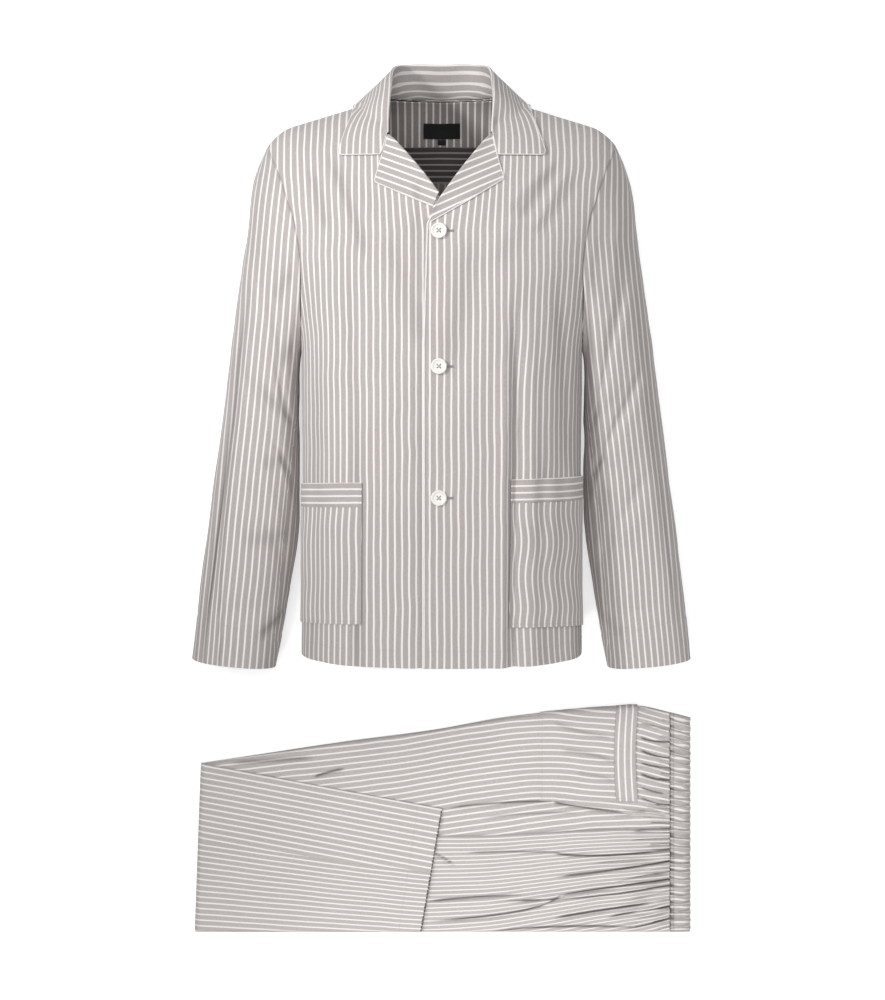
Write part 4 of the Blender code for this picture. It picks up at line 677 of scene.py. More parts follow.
def tube(paths, radius, sides):
    """Vertices and faces of round tubes along several paths of the same number of points."""
    count, length = paths.shape[:2]
    run = unit(np.gradient(paths, axis=1))
    side = np.cross(run, (0.02, 0.03, 1.0))
    level = np.linalg.norm(side, axis=-1, keepdims=True)
    side = unit(np.where(level < 0.05, np.cross(run, (1.0, 0, 0)), side))
    up = np.cross(side, run)
    turns = np.arange(sides) * 2 * math.pi / sides
    ring = side[:, :, None] * np.cos(turns)[:, None] + up[:, :, None] * np.sin(turns)[:, None]
    points = paths[:, :, None] + ring * radius
    index = np.arange(count * length * sides).reshape(count, length, sides)
    a, b = index[:, :-1], index[:, 1:]
    faces = np.stack([a, np.roll(a, -1, axis=2), np.roll(b, -1, axis=2), b], axis=-1).reshape(-1, 4)
    ends = [index[:, 0, ::-1].reshape(count, -1), index[:, -1].reshape(count, -1)]
    return points.reshape(-1, 3), faces, np.concatenate(ends)


def tubes_object(name, groups, material, sides=6):
    points, faces, start = [], [], 0
    for paths, radius in groups:
        vertices, quads, ends = tube(paths, radius, sides)
        points.append(vertices)
        faces += (quads + start).tolist() + (ends + start).tolist()
        start += len(vertices)
    mesh_object(name, np.concatenate(points), faces, material, sharp=60)


def stitches(path, normals, length=0.0023, gap=0.0012, sink=0.00025, rise=0.00022):
    """Short arched stitches along a path on a surface: an array of three-point paths."""
    both = np.concatenate([path, normals], axis=1)
    starts = spaced(both, length + gap)
    ends = spaced(both, length + gap, length)
    count = min(len(starts), len(ends))
    starts, ends = starts[:count], ends[:count]
    middle = (starts + ends) / 2
    return np.stack([starts[:, :3] - starts[:, 3:] * sink, middle[:, :3] + middle[:, 3:] * rise,
                     ends[:, :3] - ends[:, 3:] * sink], axis=1)


# --- jacket: fronts, back and yoke -----------------------------------------------------------

def front_relief(side, x, y):
    """Fine folds over the solids' form, x from the centre line towards that side."""
    signed = side * x
    total = creased(FRONT_FOLDS, signed, y)
    total = total + 0.0007 * noise(signed, y, 0.060, 3) + 0.00035 * noise(signed, y, 0.024, 4)
    wobble = 0.0015 * noise(signed, 0, 0.05, 5)
    for at, depth in zip(PRESS_Y["y"], PRESS_Y["depth"]):
        total = total - depth * bell(y - at - wobble, 0.0020)
    return total


def fine_front(side, u, t):
    """A front's outer face with its fine folds, which end where it is sewn to its neighbours."""
    points = front_point(side, u, t)
    normals = normals_of(lambda a, b: front_point(side, a, b), u, t) * side
    relief = front_relief(side, *local(points, side)) * ease(0, 0.07, 1 - u) * ease(0, 0.05, 1 - t)
    relief = relief - 0.0005 * bell(t * FRONT_LENGTH - HEM_TURN, 0.0012)
    relief = relief - 0.0008 * bell((1 - u) * FRONT_BREADTH, 0.0022)
    return points + normals * relief[..., None], normals


def front_shade(side, points, u, t):
    """Painted shade on a front: darker in its folds and along its outer seam, and, mostly on the left
    front and low down, beside its outer edge where the sleeve lies.
    """
    x, y = local(points, side)
    folds = np.clip(-creased(FRONT_FOLDS, side * x, y) / 0.0040, 0, 1) * 0.42
    half = np.interp(y, BODY_WIDTH["y"], BODY_WIDTH["half"])
    beside = np.maximum(0, half - x) * (1 + 0.3 * ease(0.2, 0.3, y))
    beside = 0.42 * bell(beside, 0.012) if side > 0 else 0.10 * bell(beside, 0.008)
    seam = 0.45 * bell((1 - u) * FRONT_BREADTH, 0.0026) * ease(0.96, 0.75, t)
    return folds + ease(0.26, 0.16, y) * beside + seam


def stripe_map(side, points):
    """Each point's place in a front's cloth: across the stripes, and along them."""
    x, y = local(points, side)
    run = steps_along(np.stack([x, points[..., 2]], axis=-1), 1)
    zero = np.array([np.interp(max(0.0, a[0]), a, b) for a, b in zip(x, run)])
    across = run - zero[:, None] + np.maximum(0, x[:, :1])
    lean = np.clip(y - 0.347, 0, 0.10) * 0.10 * (1 - ease(0.02, 0.13, x)) * ease(-0.01, 0.02, x)
    drawn = 0.0006 * noise(side * x, y, 0.05, 11) + 0.00035 * noise(side * x, y, 0.02, 12)
    return np.stack([across - lean + drawn - STRIPE_START[side], y], axis=-1)


SIDES = {"left": 1, "right": -1}
FRONT_ROWS, FRONT_COLUMNS = 176, 122
STRIPE_START = {1: -0.0061, -1: 0.0332}
grids = {}
for word, side in SIDES.items():
    u, t = np.meshgrid(np.linspace(0, 1, FRONT_COLUMNS), np.linspace(0, 1, FRONT_ROWS))
    points, normals = grids["front_" + word] = fine_front(side, u, t)
    shell("front_" + word, points, points - normals * CLOTH, stripe_map(side, points), COTTON,
          fold=front_shade(side, points, u, t), reverse=INSIDE_COTTON_PAINTED_SHADE)


def lying(points, normals, relief):
    """A panel's two faces with its fine folds, neither below the surface that it lies on."""
    points = points + normals * relief[..., None]
    points[..., 2] = np.maximum(points[..., 2], 0)
    inner = points - normals * CLOTH
    inner[..., 2] = np.maximum(inner[..., 2], CLOTH)
    return points, inner


def build_back(name, t_values, columns=121):
    u, t = np.meshgrid(np.linspace(-1, 1, columns), t_values)
    points = back_point(u, t)
    x, y = local(points)
    free = ease(0.0, 0.01, points[..., 2]) * ease(0, 0.06, 1 - np.abs(u))
    relief = (0.0008 * noise(x, y, 0.06, 21) + 0.0004 * noise(x, y, 0.025, 22)) * free
    points, inner = lying(points, -normals_of(back_point, u, t, u_low=-1), relief)
    run = steps_along(points[..., [0, 2]], 1)
    run = run - run[:, columns // 2][:, None]
    if name == "jacket_yoke":       # its stripes run from side to side
        up = y[:1] + steps_along(points, 0) + 0.0004 * noise(x, y, 0.03, 23)
        shell(name, points, inner, np.stack([up, run], axis=-1), YOKE_COTTON, reverse=YOKE_INSIDE_PAINTED_SHADE)
    else:
        cloth = np.stack([run + 0.0046, y], axis=-1)
        shell(name, points, inner, cloth, COTTON, reverse=INSIDE_COTTON_PAINTED_SHADE)


build_back("jacket_back", np.linspace(0, YOKE_T, 100))
build_back("jacket_yoke", np.linspace(YOKE_T, 1, 30))


# --- jacket: sleeves -------------------------------------------------------------------------

SLEEVE_FLAT = 0.45      # how much of the sleeve's rise the stripes' spacing takes up
SLEEVE_WALL = 0.0060    # nearer its edges in plan the stripes follow the sleeve round its sides
SLEEVE_HALF = {"y": (-0.20, 0.20, 0.47), "half": (0.0560, 0.0500, 0.0480)}
# The line of one stripe down each sleeve, and how closely the stripes lie in plan
SLEEVE_STRIPE = {
    "y": (-0.2600, -0.2163, -0.1349, -0.0808, -0.0269, 0.0268, 0.0804, 0.1337, 0.1868, 0.2395, 0.2920,
          0.3442, 0.3961, 0.4473),
    -1: (0.2820, 0.2776, 0.2696, 0.2637, 0.2583, 0.2524, 0.2461, 0.2396, 0.2337, 0.2282, 0.2238, 0.2196,
         0.2140, 0.2081),
    1: (0.2710, 0.2669, 0.2585, 0.2541, 0.2491, 0.2433, 0.2365, 0.2294, 0.2231, 0.2172, 0.2110, 0.2062,
        0.2062, 0.2089)}
SLEEVE_DENSE = {-1: 1.0, 1: 1.10}
PLEAT = {"y": (-0.2600, -0.1900, -0.0800, 0.0270, 0.3000), "from": (0.008, 0.008, 0.014, 0.017, 0.019),
         "to": (0.054, 0.050, 0.034, 0.029, 0.027), "takes": (0.0100, 0.0100, 0.0100, 0.0085, 0.0)}


def sleeve_edge(edge, share):
    """The sleeve's outer or inner line in plan."""
    return np.stack([along(SLEEVE, "share", edge + axis, share) for axis in ("_x", "_y")], axis=-1)


def rounded(power, turn):
    """A place on a rounded oblong of this power: across, and up."""
    return tuple(np.sign(k) * np.abs(k) ** (2 / power) for k in (np.cos(turn), np.sin(turn)))


def passed(off, limit, values):
    """The values where the sleeve first comes this far in from its outer edge."""
    k = max(1, int(np.argmax(off > limit)))
    share = np.clip((limit - off[k - 1]) / max(off[k] - off[k - 1], 1e-6), 0, 1)
    return [value[k - 1] + (value[k] - value[k - 1]) * share for value in values]


def past_wall(off, run, plan):
    """From the outer edge inwards, one half of a ring: its length first, then its place in plan,
    and its length again down the inner side."""
    wall, start = passed(off, SLEEVE_WALL, (run, plan))
    end, last = passed(off, off.max() - SLEEVE_WALL, (run, plan))
    across = np.where(run < wall, run, wall + plan - start)
    return np.where(run > end, wall + last - start + run - end, across), start - wall


def sleeve_across(side, points, front_count):
    """Each point's place across the sleeve's stripes on the front half and on the back half, the
    same at its outer edge, and its painted shade in the pleats beside that edge."""
    outer = sleeve_edge("outer", np.linspace(0, 1, 40))
    x, y = local(points, side)
    plan, rise = rounded(SLEEVE_POWER, np.linspace(0, math.pi, 200))
    length = steps_along(np.stack([plan, SLEEVE_FLAT * rise], axis=-1), 0)
    plan, length = np.append(1 - plan, 4), np.append(length, length[-1] + 2)
    half = np.interp(y, SLEEVE_HALF["y"], SLEEVE_HALF["half"])
    pleat = [np.interp(y, PLEAT["y"], PLEAT[part]) for part in ("from", "to", "takes")]
    takes = pleat[2] * (1.0 if side < 0 else 0.3)

    def to_cloth(off):
        taken = takes * ease(pleat[0], pleat[1], off)
        return SLEEVE_DENSE[side] * half * np.interp(off / half, plan, length) + taken

    edge = np.interp(y, outer[::-1, 1], outer[::-1, 0])
    line = np.interp(y, SLEEVE_STRIPE["y"], SLEEVE_STRIPE[side])
    off, stripe = np.maximum(edge - x, 0), edge - line
    middle, breadth = (pleat[0] + pleat[1]) / 2, pleat[1] - pleat[0]
    deep = np.clip(takes / 0.010, 0, 1) * (bell(off - middle + 0.28 * breadth, 0.0016)
                                           + 0.8 * bell(off - middle - 0.22 * breadth, 0.0018))
    stripe, across, run = to_cloth(stripe), to_cloth(off), steps_along(points, 1)
    front, back = across.copy(), across.copy()
    shown, rest = slice(None, front_count), slice(None, front_count - 2, -1)
    for i in range(len(points)):
        first, start = past_wall(off[i, shown], run[i, shown], across[i, shown])
        front[i, shown] = first + start
        second, _ = past_wall(off[i, rest], run[i, -1] - run[i, rest], across[i, rest])
        back[i, front_count - 1:] = (start - second)[::-1]
    return front - stripe, back - stripe, 0.42 * deep


def sleeve_turns(ring, front_count):
    length = steps_along(np.concatenate([ring, ring[:1]]), 0)
    half = length[front_count - 1]
    back = (length[front_count:-1] - half) / (length[-1] - half)
    return np.concatenate([length[:front_count] / half * math.pi, math.pi + back * math.pi])


def sleeve_section(side, share, turn):
    outer, inner = sleeve_edge("outer", share), sleeve_edge("inner", share)
    high, low = along(SLEEVE, "share", "front_z", share), along(SLEEVE, "share", "back_z", share)
    across, rise = rounded(SLEEVE_POWER, turn)
    plan = (outer + inner) / 2 + (outer - inner) / 2 * across[..., None]
    middle = (high + low) / 2
    z = middle + (high - low) / 2 * rise
    z = z + creased(SLEEVE_CREASES, share, turn / (2 * math.pi) + 0 * share)
    y = plan[..., 1] - CUFF_TILT * (z - middle) * ease(0.7, 1.0, share)
    return in_frame(plan[..., 0], y, z, side)


def clear_of_body(side, points):
    (x, y), z = local(points, side), points[..., 2]
    above = z > SEAM_Z
    depth = np.where(above, HEM_DEPTH, BACK_DEPTH)
    power = np.where(above, POWER["front"], POWER["back"])
    share = np.clip(np.abs(z - SEAM_Z) / depth, 0, 1)
    limit = HALF_WIDTH * (1 - share**power) ** (1 / power) + SLEEVE_CLEAR
    x = np.where(y < UNDERARM_Y - 0.012, np.maximum(x, limit), x)
    return in_frame(x, y, np.maximum(z, 0), side)


def build_sleeve(name, side, seed):
    t = np.linspace(UNDERARM_T, 1, 50)
    front_count = len(t)
    ring = np.concatenate([front_point(side, 1, t)[::-1], back_point(side, t)[1:-1]])
    turns = sleeve_turns(ring, front_count)
    share, turn = np.meshgrid(np.linspace(0, 1, 158), turns, indexing="ij")
    left_over = np.clip(1 - share / SLEEVE_MERGE, 0, 1) ** 2
    extra = ring - sleeve_section(side, np.zeros(len(turns)), turns)
    points = clear_of_body(side, sleeve_section(side, share, turn) + extra * left_over[..., None])
    points[0] = ring
    normals = grid_normals(points, ring=True)
    if np.sum(normals * (points - points.mean(axis=1, keepdims=True))) < 0:
        normals = -normals
    part = turn / (2 * math.pi)
    folds = creased(SLEEVE_FOLDS, share, part)
    place = (share * 0.65, part * SLEEVE_ROUND)
    soft = 0.0009 * noise(*place, 0.055, seed) + 0.0004 * noise(*place, 0.022, seed + 1)
    relief = (folds * (1.0 if side < 0 else 0.40) + soft) * ease(0, 0.05, share)
    relief = relief - 0.0010 * bell(share * SLEEVE_LENGTH, 0.0022)
    cuff = (1 - share) * SLEEVE_LENGTH - CUFF_TURN
    relief = relief - 0.0006 * bell(cuff, 0.0011) + 0.0004 * (1 - ease(-0.002, 0.001, cuff))
    points, inner = lying(points, normals, relief)
    closed = np.concatenate([points, points[:, :1]], axis=1)
    front, back, pleat = sleeve_across(side, closed, front_count)
    down = steps_along(closed, 0)
    wander = 0.0004 * noise(closed[..., 0], closed[..., 1], 0.05, seed + 2)
    cloth, after = (np.stack([across + wander, down], axis=-1) for across in (front, back))
    # painted shade: darker in the sleeve's folds, in the pleats beside its outer edge and along its
    # armhole seam
    shade = np.clip(-folds / 0.0038, 0, 1) * (0.42 if side < 0 else 0.12)
    shade = shade + pleat[:, :-1] * (np.arange(len(turns)) < front_count)
    shade = shade + 0.45 * bell(share * SLEEVE_LENGTH, 0.0030)
    shell(name, points, inner, cloth, COTTON, after, front_count - 1, fold=shade,
          reverse=INSIDE_COTTON_PAINTED_SHADE)
    grids[name] = (points, normals)


build_sleeve("sleeve_left", 1, 31)
build_sleeve("sleeve_right", -1, 41)


# --- jacket: collar and lapels ---------------------------------------------------------------

ARC = np.radians(np.linspace(0, 180, 13))
STAND_STEPS = np.linspace(0, 1, 9)[:-1]
LEAF_STEPS = np.linspace(0, 1, 26)[1:]
CREST = len(STAND_STEPS) + len(ARC) // 2        # the column on top of the collar's fold
COLLAR_LENGTH, CORNER_ROUND = 0.155, 0.0075
# Where the stand's stripes lie by distance from the fold: its real stripes, with a white one set just
# below the fold's top as a painted highlight
STAND_STRIPES = {"plan": (0, 0.0014, 0.0032, 0.0102, 0.0245, 0.0342, 0.0410, 0.0600),
                 "turn": (0.2, 0.03, 0.2, 1, 2, 3, 4, 7)}
STAND_BROADER = 0.42        # the stripes look broader where the stand's cloth is brushed


def rested_z(side, x, y):
    return front_z(side, x, y) + front_relief(side, x, y)


def over_front(side, leaf, crest, lift):
    """A leaf raised to lie on the front beneath it."""
    (x, y), z = local(leaf, side), leaf[:, 2]
    near_fold = np.clip(1 - np.linalg.norm(leaf[:, :2] - crest[:2], axis=1) / SETTLE_REACH, 0, 1)
    resting = rested_z(side, x, y) + lift + (2 * FOLD_RADIUS - lift) * near_fold**2
    z = np.where(y < shoulder_y(np.abs(x)), np.maximum(z, resting), z)
    return np.column_stack([leaf[:, :2], z])


def past_ridge(leaf):
    """A leaf moved up past the shoulder's ridge, where it would run into it."""
    seam = shoulder_y(np.abs(leaf[:, 0] - CENTRE_X)) + SHIFT_Y + RIDGE_CLEAR * 0.6
    level = 1 - ease(0.5, 1.0, np.abs(leaf[:, 2] - SEAM_Z) / RIDGE_HEIGHT)
    return leaf + np.outer(np.clip(seam - leaf[:, 1], 0, None) * level, (0, 1, 0))


def from_fold(points, line):
    """Each point's distance from the collar's fold, whose ends are drawn on in their direction."""
    first = line[0] + unit(line[0] - line[3]) * 0.06
    last = line[-1] + unit(line[-1] - line[-4]) * 0.06
    line = np.concatenate([first[None], line, last[None]])
    nearest = np.full(points.shape[:-1], 1e9)
    for a, b in zip(line[:-1], line[1:]):
        s = np.clip((points - a) @ (b - a) / np.sum((b - a) ** 2), 0, 1)[..., None]
        nearest = np.minimum(nearest, np.linalg.norm(points - a - s * (b - a), axis=-1))
    return nearest


def collar_at(column, side, share):
    """A place or a direction from the collar's table."""
    return along(COLLAR, "share", column, share) * (side, 1, 1)


def collar_foot(side, share):
    if share <= NECK_SHARE:
        x = NECK_X * share / NECK_SHARE
        y = float(back_top_y(x))
        foot = in_frame(x, y, float(back_z(x, y)) + 0.0015, side)
        return foot + collar_at("rise", side, share) * GAP * 2
    past = (share - NECK_SHARE) / (1 - NECK_SHARE)
    foot = front_point(side, 0.0, 1 - past * (1 - ROLL_TOP_T))
    inside = np.array([-side, 0.5 * (1 - past), 0])
    return foot + inside * (GAP * 2 + LEAF_CLOTH) - (0, 0, STAND_END * past)


def collar_row(side, share):
    """One row of the collar: up its stand, over the fold and down its leaf."""
    rise, inward = unit(collar_at("rise", side, share)), collar_at("inward", side, share)
    inward = unit(inward - rise * np.dot(inward, rise))
    origin = np.array([CENTRE_X, SHIFT_Y, 0])
    roll_top = front_point(side, 0.0, ROLL_TOP_T) + (-side * (GAP * 2 + LEAF_CLOTH), 0, FOLD_RADIUS)
    last = origin + collar_at("crest", side, 1.0)
    crest = origin + collar_at("crest", side, share) + (roll_top - last) * ease(*ROLL_FADE, share)
    arc = crest + FOLD_RADIUS * (inward * np.cos(ARC)[:, None] + rise * np.sin(ARC)[:, None])
    foot = collar_foot(side, share)
    stand = [foot + (arc[0] - foot) * s for s in STAND_STEPS]
    edge = origin + collar_at("edge", side, share)
    from_end = (1 - share) * COLLAR_LENGTH
    pull = CORNER_ROUND - math.sqrt(CORNER_ROUND**2 - max(0.0, CORNER_ROUND - from_end) ** 2)
    steps = LEAF_STEPS * (1 - pull / np.linalg.norm(edge - arc[-1]))
    leaf = arc[-1] + (edge - arc[-1]) * steps[:, None]
    notch = in_frame(*NOTCH[side], edge[2], side)
    straight = arc[-1] + (edge - arc[-1]) * NOTCH_SHARE
    bend = np.interp(steps, (0, NOTCH_SHARE, 1), (0, 1, 0)) * ease(*NOTCH_FADE, share) ** 2
    leaf[:, :2] += bend[:, None] * (notch - straight)[:2]
    leaf = past_ridge(leaf)
    if share > NECK_SHARE:
        leaf = over_front(side, leaf, crest, LEAF_LIFT["collar"])
    return np.concatenate([stand, arc, leaf])


def build_collar():
    half = np.concatenate([np.linspace(0, 0.94, 84), np.linspace(0.94, 1, 16)[1:]])
    shares = np.concatenate([-half[:0:-1], half])
    rows = np.array([collar_row(-1 if s < 0 else 1, abs(s)) for s in shares])
    normals, column = grid_normals(rows), np.arange(rows.shape[1])
    if np.mean(np.sum(normals[:, CREST] * (rows[:, CREST] - rows[:, 0]), axis=-1)) < 0:
        normals = -normals
    free = np.clip((column - CREST) / (len(column) - CREST), 0, 1)
    relief = 0.0006 * noise(rows[..., 0], rows[..., 1], 0.03, 51) * free
    rows = rows + normals * relief[..., None]
    away = from_fold(rows, rows[:, CREST])
    squeeze = 1 + 0.30 * ease(0.47, 0.55, rows[..., 1] - SHIFT_Y) * ease(0.01, 0.05, away)
    plan = np.linalg.norm(rows[..., :2] - rows[:, CREST:CREST + 1, :2], axis=-1)
    turn = np.interp(plan, STAND_STRIPES["plan"], STAND_STRIPES["turn"])
    broader = STAND_BROADER * np.sin(2 * math.pi * turn) / (2 * math.pi)
    turn = turn - broader * ease(0.004, 0.008, plan)
    across = np.where(column >= CREST, away * squeeze - 0.0019, -COLLAR_PITCH * turn)
    across = across + 0.0004 * noise(rows[..., 0], rows[..., 1], 0.03, 52)
    lengthwise = np.repeat(steps_along(rows, 0)[:, CREST:CREST + 1], len(column), axis=1)
    # painted shade: darker beside the leaf's fold and at the foot of the stand
    shade = np.where(column >= CREST, 0.25 * bell(away, 0.0020),
                     0.55 * bell(steps_along(rows, 1), 0.0060))
    shell("collar", rows, rows - normals * LEAF_CLOTH, np.stack([across, lengthwise], axis=-1),
          COLLAR_COTTON, fold=shade)
    grids["collar"] = (rows, normals)


build_collar()

LAPEL_STEPS = np.linspace(0, 1, 30)[1:]
LAPEL_LEAN = {1: 0.46, -1: 0.40}         # how steeply the stripes of each lapel rise outward


def lapel_row(side, share):
    t = LAPEL_TOP_T - share * (LAPEL_TOP_T - LAPEL_END_T[side])
    roll = front_point(side, 0.0, t)
    run = front_point(side, 0.0, ROLL_TOP_T)[:2] - front_point(side, 0.0, BREAK_T)[:2]
    across = unit(np.array([-run[1] * side, run[0] * side]))
    turn = ease(0, LAPEL_TURN, share)
    inside = unit(np.array([-side * (1 - turn) + across[0] * turn, across[1] * turn, 0]))
    crest = roll + inside * GAP * 2 + (0, 0, FOLD_RADIUS)
    down = np.array([0, 0, -1.0])
    arc = crest + FOLD_RADIUS * (down * np.cos(ARC)[:, None] + inside * np.sin(ARC)[:, None])
    edge = in_frame(*(rounded_outline(share, values) for values in zip(*LAPEL[side])), 0, side)
    leaf = arc[-1] + (edge - arc[-1]) * LAPEL_STEPS[:, None]
    leaf[:, 2] = 0
    return np.concatenate([arc, over_front(side, leaf, crest, LEAF_LIFT["lapel"])])


def rounded_outline(share, values, reach=0.030):
    """The lapel's outline with its point rounded over a little of its length."""
    if reach < share < 1 - reach:
        share = np.linspace(share - reach, share + reach, 9)
    return np.mean(np.interp(share, LAPEL_STOPS, values))


def build_lapel(name, side):
    rows = np.array([lapel_row(side, s) for s in np.linspace(0, 1, 90)])
    normals, column = grid_normals(rows), np.arange(rows.shape[1])
    if np.mean(normals[:, -1, 2]) < 0:
        normals = -normals
    x, y = local(rows, side)
    free = ease(0, 0.5, np.clip((column - len(ARC)) / 28, 0, 1))
    rows = rows + normals * (0.0004 * noise(x, y, 0.025, 61) * free)[..., None]
    lean, fold = LAPEL_LEAN[side], len(ARC) // 2
    foot = np.array(LAPEL[side][3]) * (0.4, 1) + np.array([0.004, -0.002]) * (side < 0)
    across = ((y - foot[1]) - lean * (x - foot[0])) / math.hypot(lean, 1)
    lengthwise = ((x - foot[0]) + lean * (y - foot[1])) / math.hypot(lean, 1)
    across = np.where(column < fold, 2 * across[:, fold:fold + 1] - across, across)
    cloth = np.stack([across - 0.0012, lengthwise], axis=-1)
    shell(name, rows, rows - normals * LEAF_CLOTH, cloth, COLLAR_COTTON)
    grids[name] = (rows, normals)


for word, side in SIDES.items():
    build_lapel("lapel_" + word, side)


def line_of(rows, columns, count):
    """A straight line of places on a grid, as fractional rows and columns."""
    return np.stack([np.linspace(*rows, count), np.linspace(*columns, count)], axis=1)


def edge_piping():
    """The narrow white edging of the collar, both lapels and the lapped front's edge."""
    points, normals = grids["front_left"]
    at = line_of((0.2, LAPEL_END_T[1] * (FRONT_ROWS - 1)), (0.9, 0.9), 420).T
    groups = [((on_grid(points, *at) + on_grid(normals, *at) * 0.0002)[None], 0.00125)]

    def add(name, radius, *legs):
        """A tube half way through a leaf's thickness."""
        rows, normals = grids[name]
        middle = rows - normals * LEAF_CLOTH * 0.45
        groups.append((on_grid(middle, *np.concatenate(legs).T)[None], radius))

    last, wide = (count - 1 for count in grids["collar"][0].shape[:2])
    start, end = (line_of((row, row), (CREST + len(ARC) // 2, wide), 40) for row in (0, last))
    neck = line_of((0, last), (wide, wide), 400)
    add("collar", 0.00085, start, neck[1:101])
    add("collar", 0.00045, neck[100:300])       # thinner behind the neck
    add("collar", 0.00085, neck[299:-1], end[::-1])
    for name in ("lapel_left", "lapel_right"):
        last, wide = (count - 1 for count in grids[name][0].shape[:2])
        add(name, 0.00090, line_of((0, 0), (len(ARC) + 2, wide), 30),
            line_of((0, last), (wide, wide), 160)[1:])
    tubes_object("collar_edging", groups, EDGE_THREAD)


edge_piping()


# --- jacket: neck facing and label -----------------------------------------------------------

def build_neck_facing():
    columns = np.linspace(-1, 1, 401)
    columns = columns[np.abs(back_point(columns, 1)[:, 0] - CENTRE_X) < FACING_HALF]
    u, t = np.meshgrid(np.linspace(columns[0], columns[-1], 60), np.linspace(0.927, 0.9995, 40))
    points = back_point(u, t)
    normals = -normals_of(back_point, u, t, u_low=-1)
    x, y = local(points)
    near = 0.0030 + 0.0004 * noise(x, y, 0.03, 71)
    outer = points - normals * near[..., None]
    cloth = np.stack([x + 0.0022, y], axis=-1)
    shell("neck_facing", outer, outer - normals * 0.0010, cloth, FACING_COTTON)


def inside_back(x, y, depth):
    step = 0.001
    slope_x = (back_z(x + step, y) - back_z(x - step, y)) / (2 * step)
    slope_y = (back_z(x, y + step) - back_z(x, y - step)) / (2 * step)
    up = unit(np.stack([-slope_x, -slope_y, np.ones_like(slope_x)], axis=-1))
    return in_frame(x, y, back_z(x, y)) + up * depth, up


def build_label(name):
    left, right, foot, top = LABEL[name]
    x, y = np.meshgrid(np.linspace(left, right, 40), np.linspace(foot, top, 20))
    rim = np.minimum(np.minimum(x - left, right - x), np.minimum(y - foot, top - y))
    near = 0.0052 + 0.0003 * noise(x, y, 0.012, 81)
    low, up = inside_back(x, y, near[..., None])
    high = low + up * (0.0004 + 0.0004 * ease(0, 0.0012, rim))[..., None]
    shell(name, low, high, np.stack([x, y], axis=-1), LABEL_SATIN)


build_neck_facing()
for name in LABEL:
    build_label(name)


# --- jacket: pockets -------------------------------------------------------------------------

def front_u_at(x):
    power = POWER["front"]
    turn_in = -math.asin((LAP / HALF_WIDTH) ** (power / 2))
    turn = math.asin((x / HALF_WIDTH) ** (power / 2))
    return (turn - turn_in) / (math.pi / 2 - turn_in)


def front_t_at(side, u, y):
    length = (UNDERARM_Y - HEM_Y) / UNDERARM_T
    t = (y - HEM_Y) / length
    for _ in range(6):
        t = t + (y - (front_point(side, u, t)[..., 1] - SHIFT_Y)) / length
    return t


def pocket_grid(side, low, high, rows, columns):
    size = POCKET[side]
    first, foot_first = front_u_at(size["inner"]), front_u_at(size["foot_inner"])
    u, v = np.meshgrid(np.linspace(first, size["outer"], columns), np.linspace(low, high, rows))
    share = (u - first) / (size["outer"] - first)
    mouth = size["top"] + (size["top_out"] - size["top"]) * share
    y = size["foot"] + (mouth - size["foot"]) * v
    u = u + (foot_first - first) * (1 - v) * (1 - share)
    return u, front_t_at(side, u, y), share, v


POCKET_WIDTH = 0.105
POCKET_BEND, POCKET_START = {1: 0.0034, -1: 0.0010}, {1: 0.0030, -1: 0.0012}    # of its stripes


def build_pocket(side, word):
    depth = POCKET[side]["top"] - POCKET[side]["foot"]
    band = 1 - POCKET[side]["band"] / depth
    for name, low, high, rows, thick in (("pocket_", 0, band - GAP / depth, 80, 0.0010),
                                         ("pocket_band_", band, 1, 24, BAND_CLOTH)):
        u, t, share, v = pocket_grid(side, low, high, rows, 56)
        base, normals = fine_front(side, u, t)
        x, y = local(base, side)
        rim = np.minimum(share, 1 - share) * POCKET_WIDTH
        rim = np.minimum(rim, v * depth) if low == 0 else rim
        puff = 0.0006 * noise(side * x, y, 0.03, 91 + side) * ease(0, 0.01, rim)
        lift = 0.0012 + puff - 0.0005 * bell(rim - 0.0030, 0.0009)
        inner = base + normals * lift[..., None]
        outer = inner + normals * thick
        run = steps_along(outer[..., [0, 2]], 1)
        if low == 0:
            bend = POCKET_BEND[side] * np.sin(2 * math.pi * (y + 0.035) / 0.085)
            bend = bend * ease(0, 0.10, 1 - v) * ease(0, 0.12, v) * (0.45 + 0.55 * share)
            drawn = 0.0008 * noise(side * x, y, 0.035, 95)
            cloth, material = (run + bend + drawn + POCKET_START[side], y), COTTON
        else:
            drawn = 0.0006 * noise(side * x, 0, 0.04, 97)
            cloth, material = ((1 - v) * depth - BAND_PITCH + drawn, run), BAND_COTTON
        shell(name + word, outer, inner, np.stack(cloth, axis=-1), material)
        grids[name + word] = (outer, normals)


for word, side in SIDES.items():
    build_pocket(side, word)


# --- jacket: buttons and buttonholes ---------------------------------------------------------

def lathe(profile, sides):
    """A turned solid, whose profile of (radius, height) starts and ends on its axis."""
    points = [(0, 0, profile[0][1])]
    for radius, height in profile[1:-1]:
        points += [(radius * math.cos(a), radius * math.sin(a), height)
                   for a in np.arange(sides) * 2 * math.pi / sides]
    points.append((0, 0, profile[-1][1]))
    faces, last = [], len(points) - 1 - sides
    for j in range(sides):
        k = (j + 1) % sides
        faces.append([0, 1 + k, 1 + j])
        faces += [[a + j, a + k, a + sides + k, a + sides + j] for a in range(1, last, sides)]
        faces.append([last + j, last + k, len(points) - 1])
    return np.array(points, float), faces


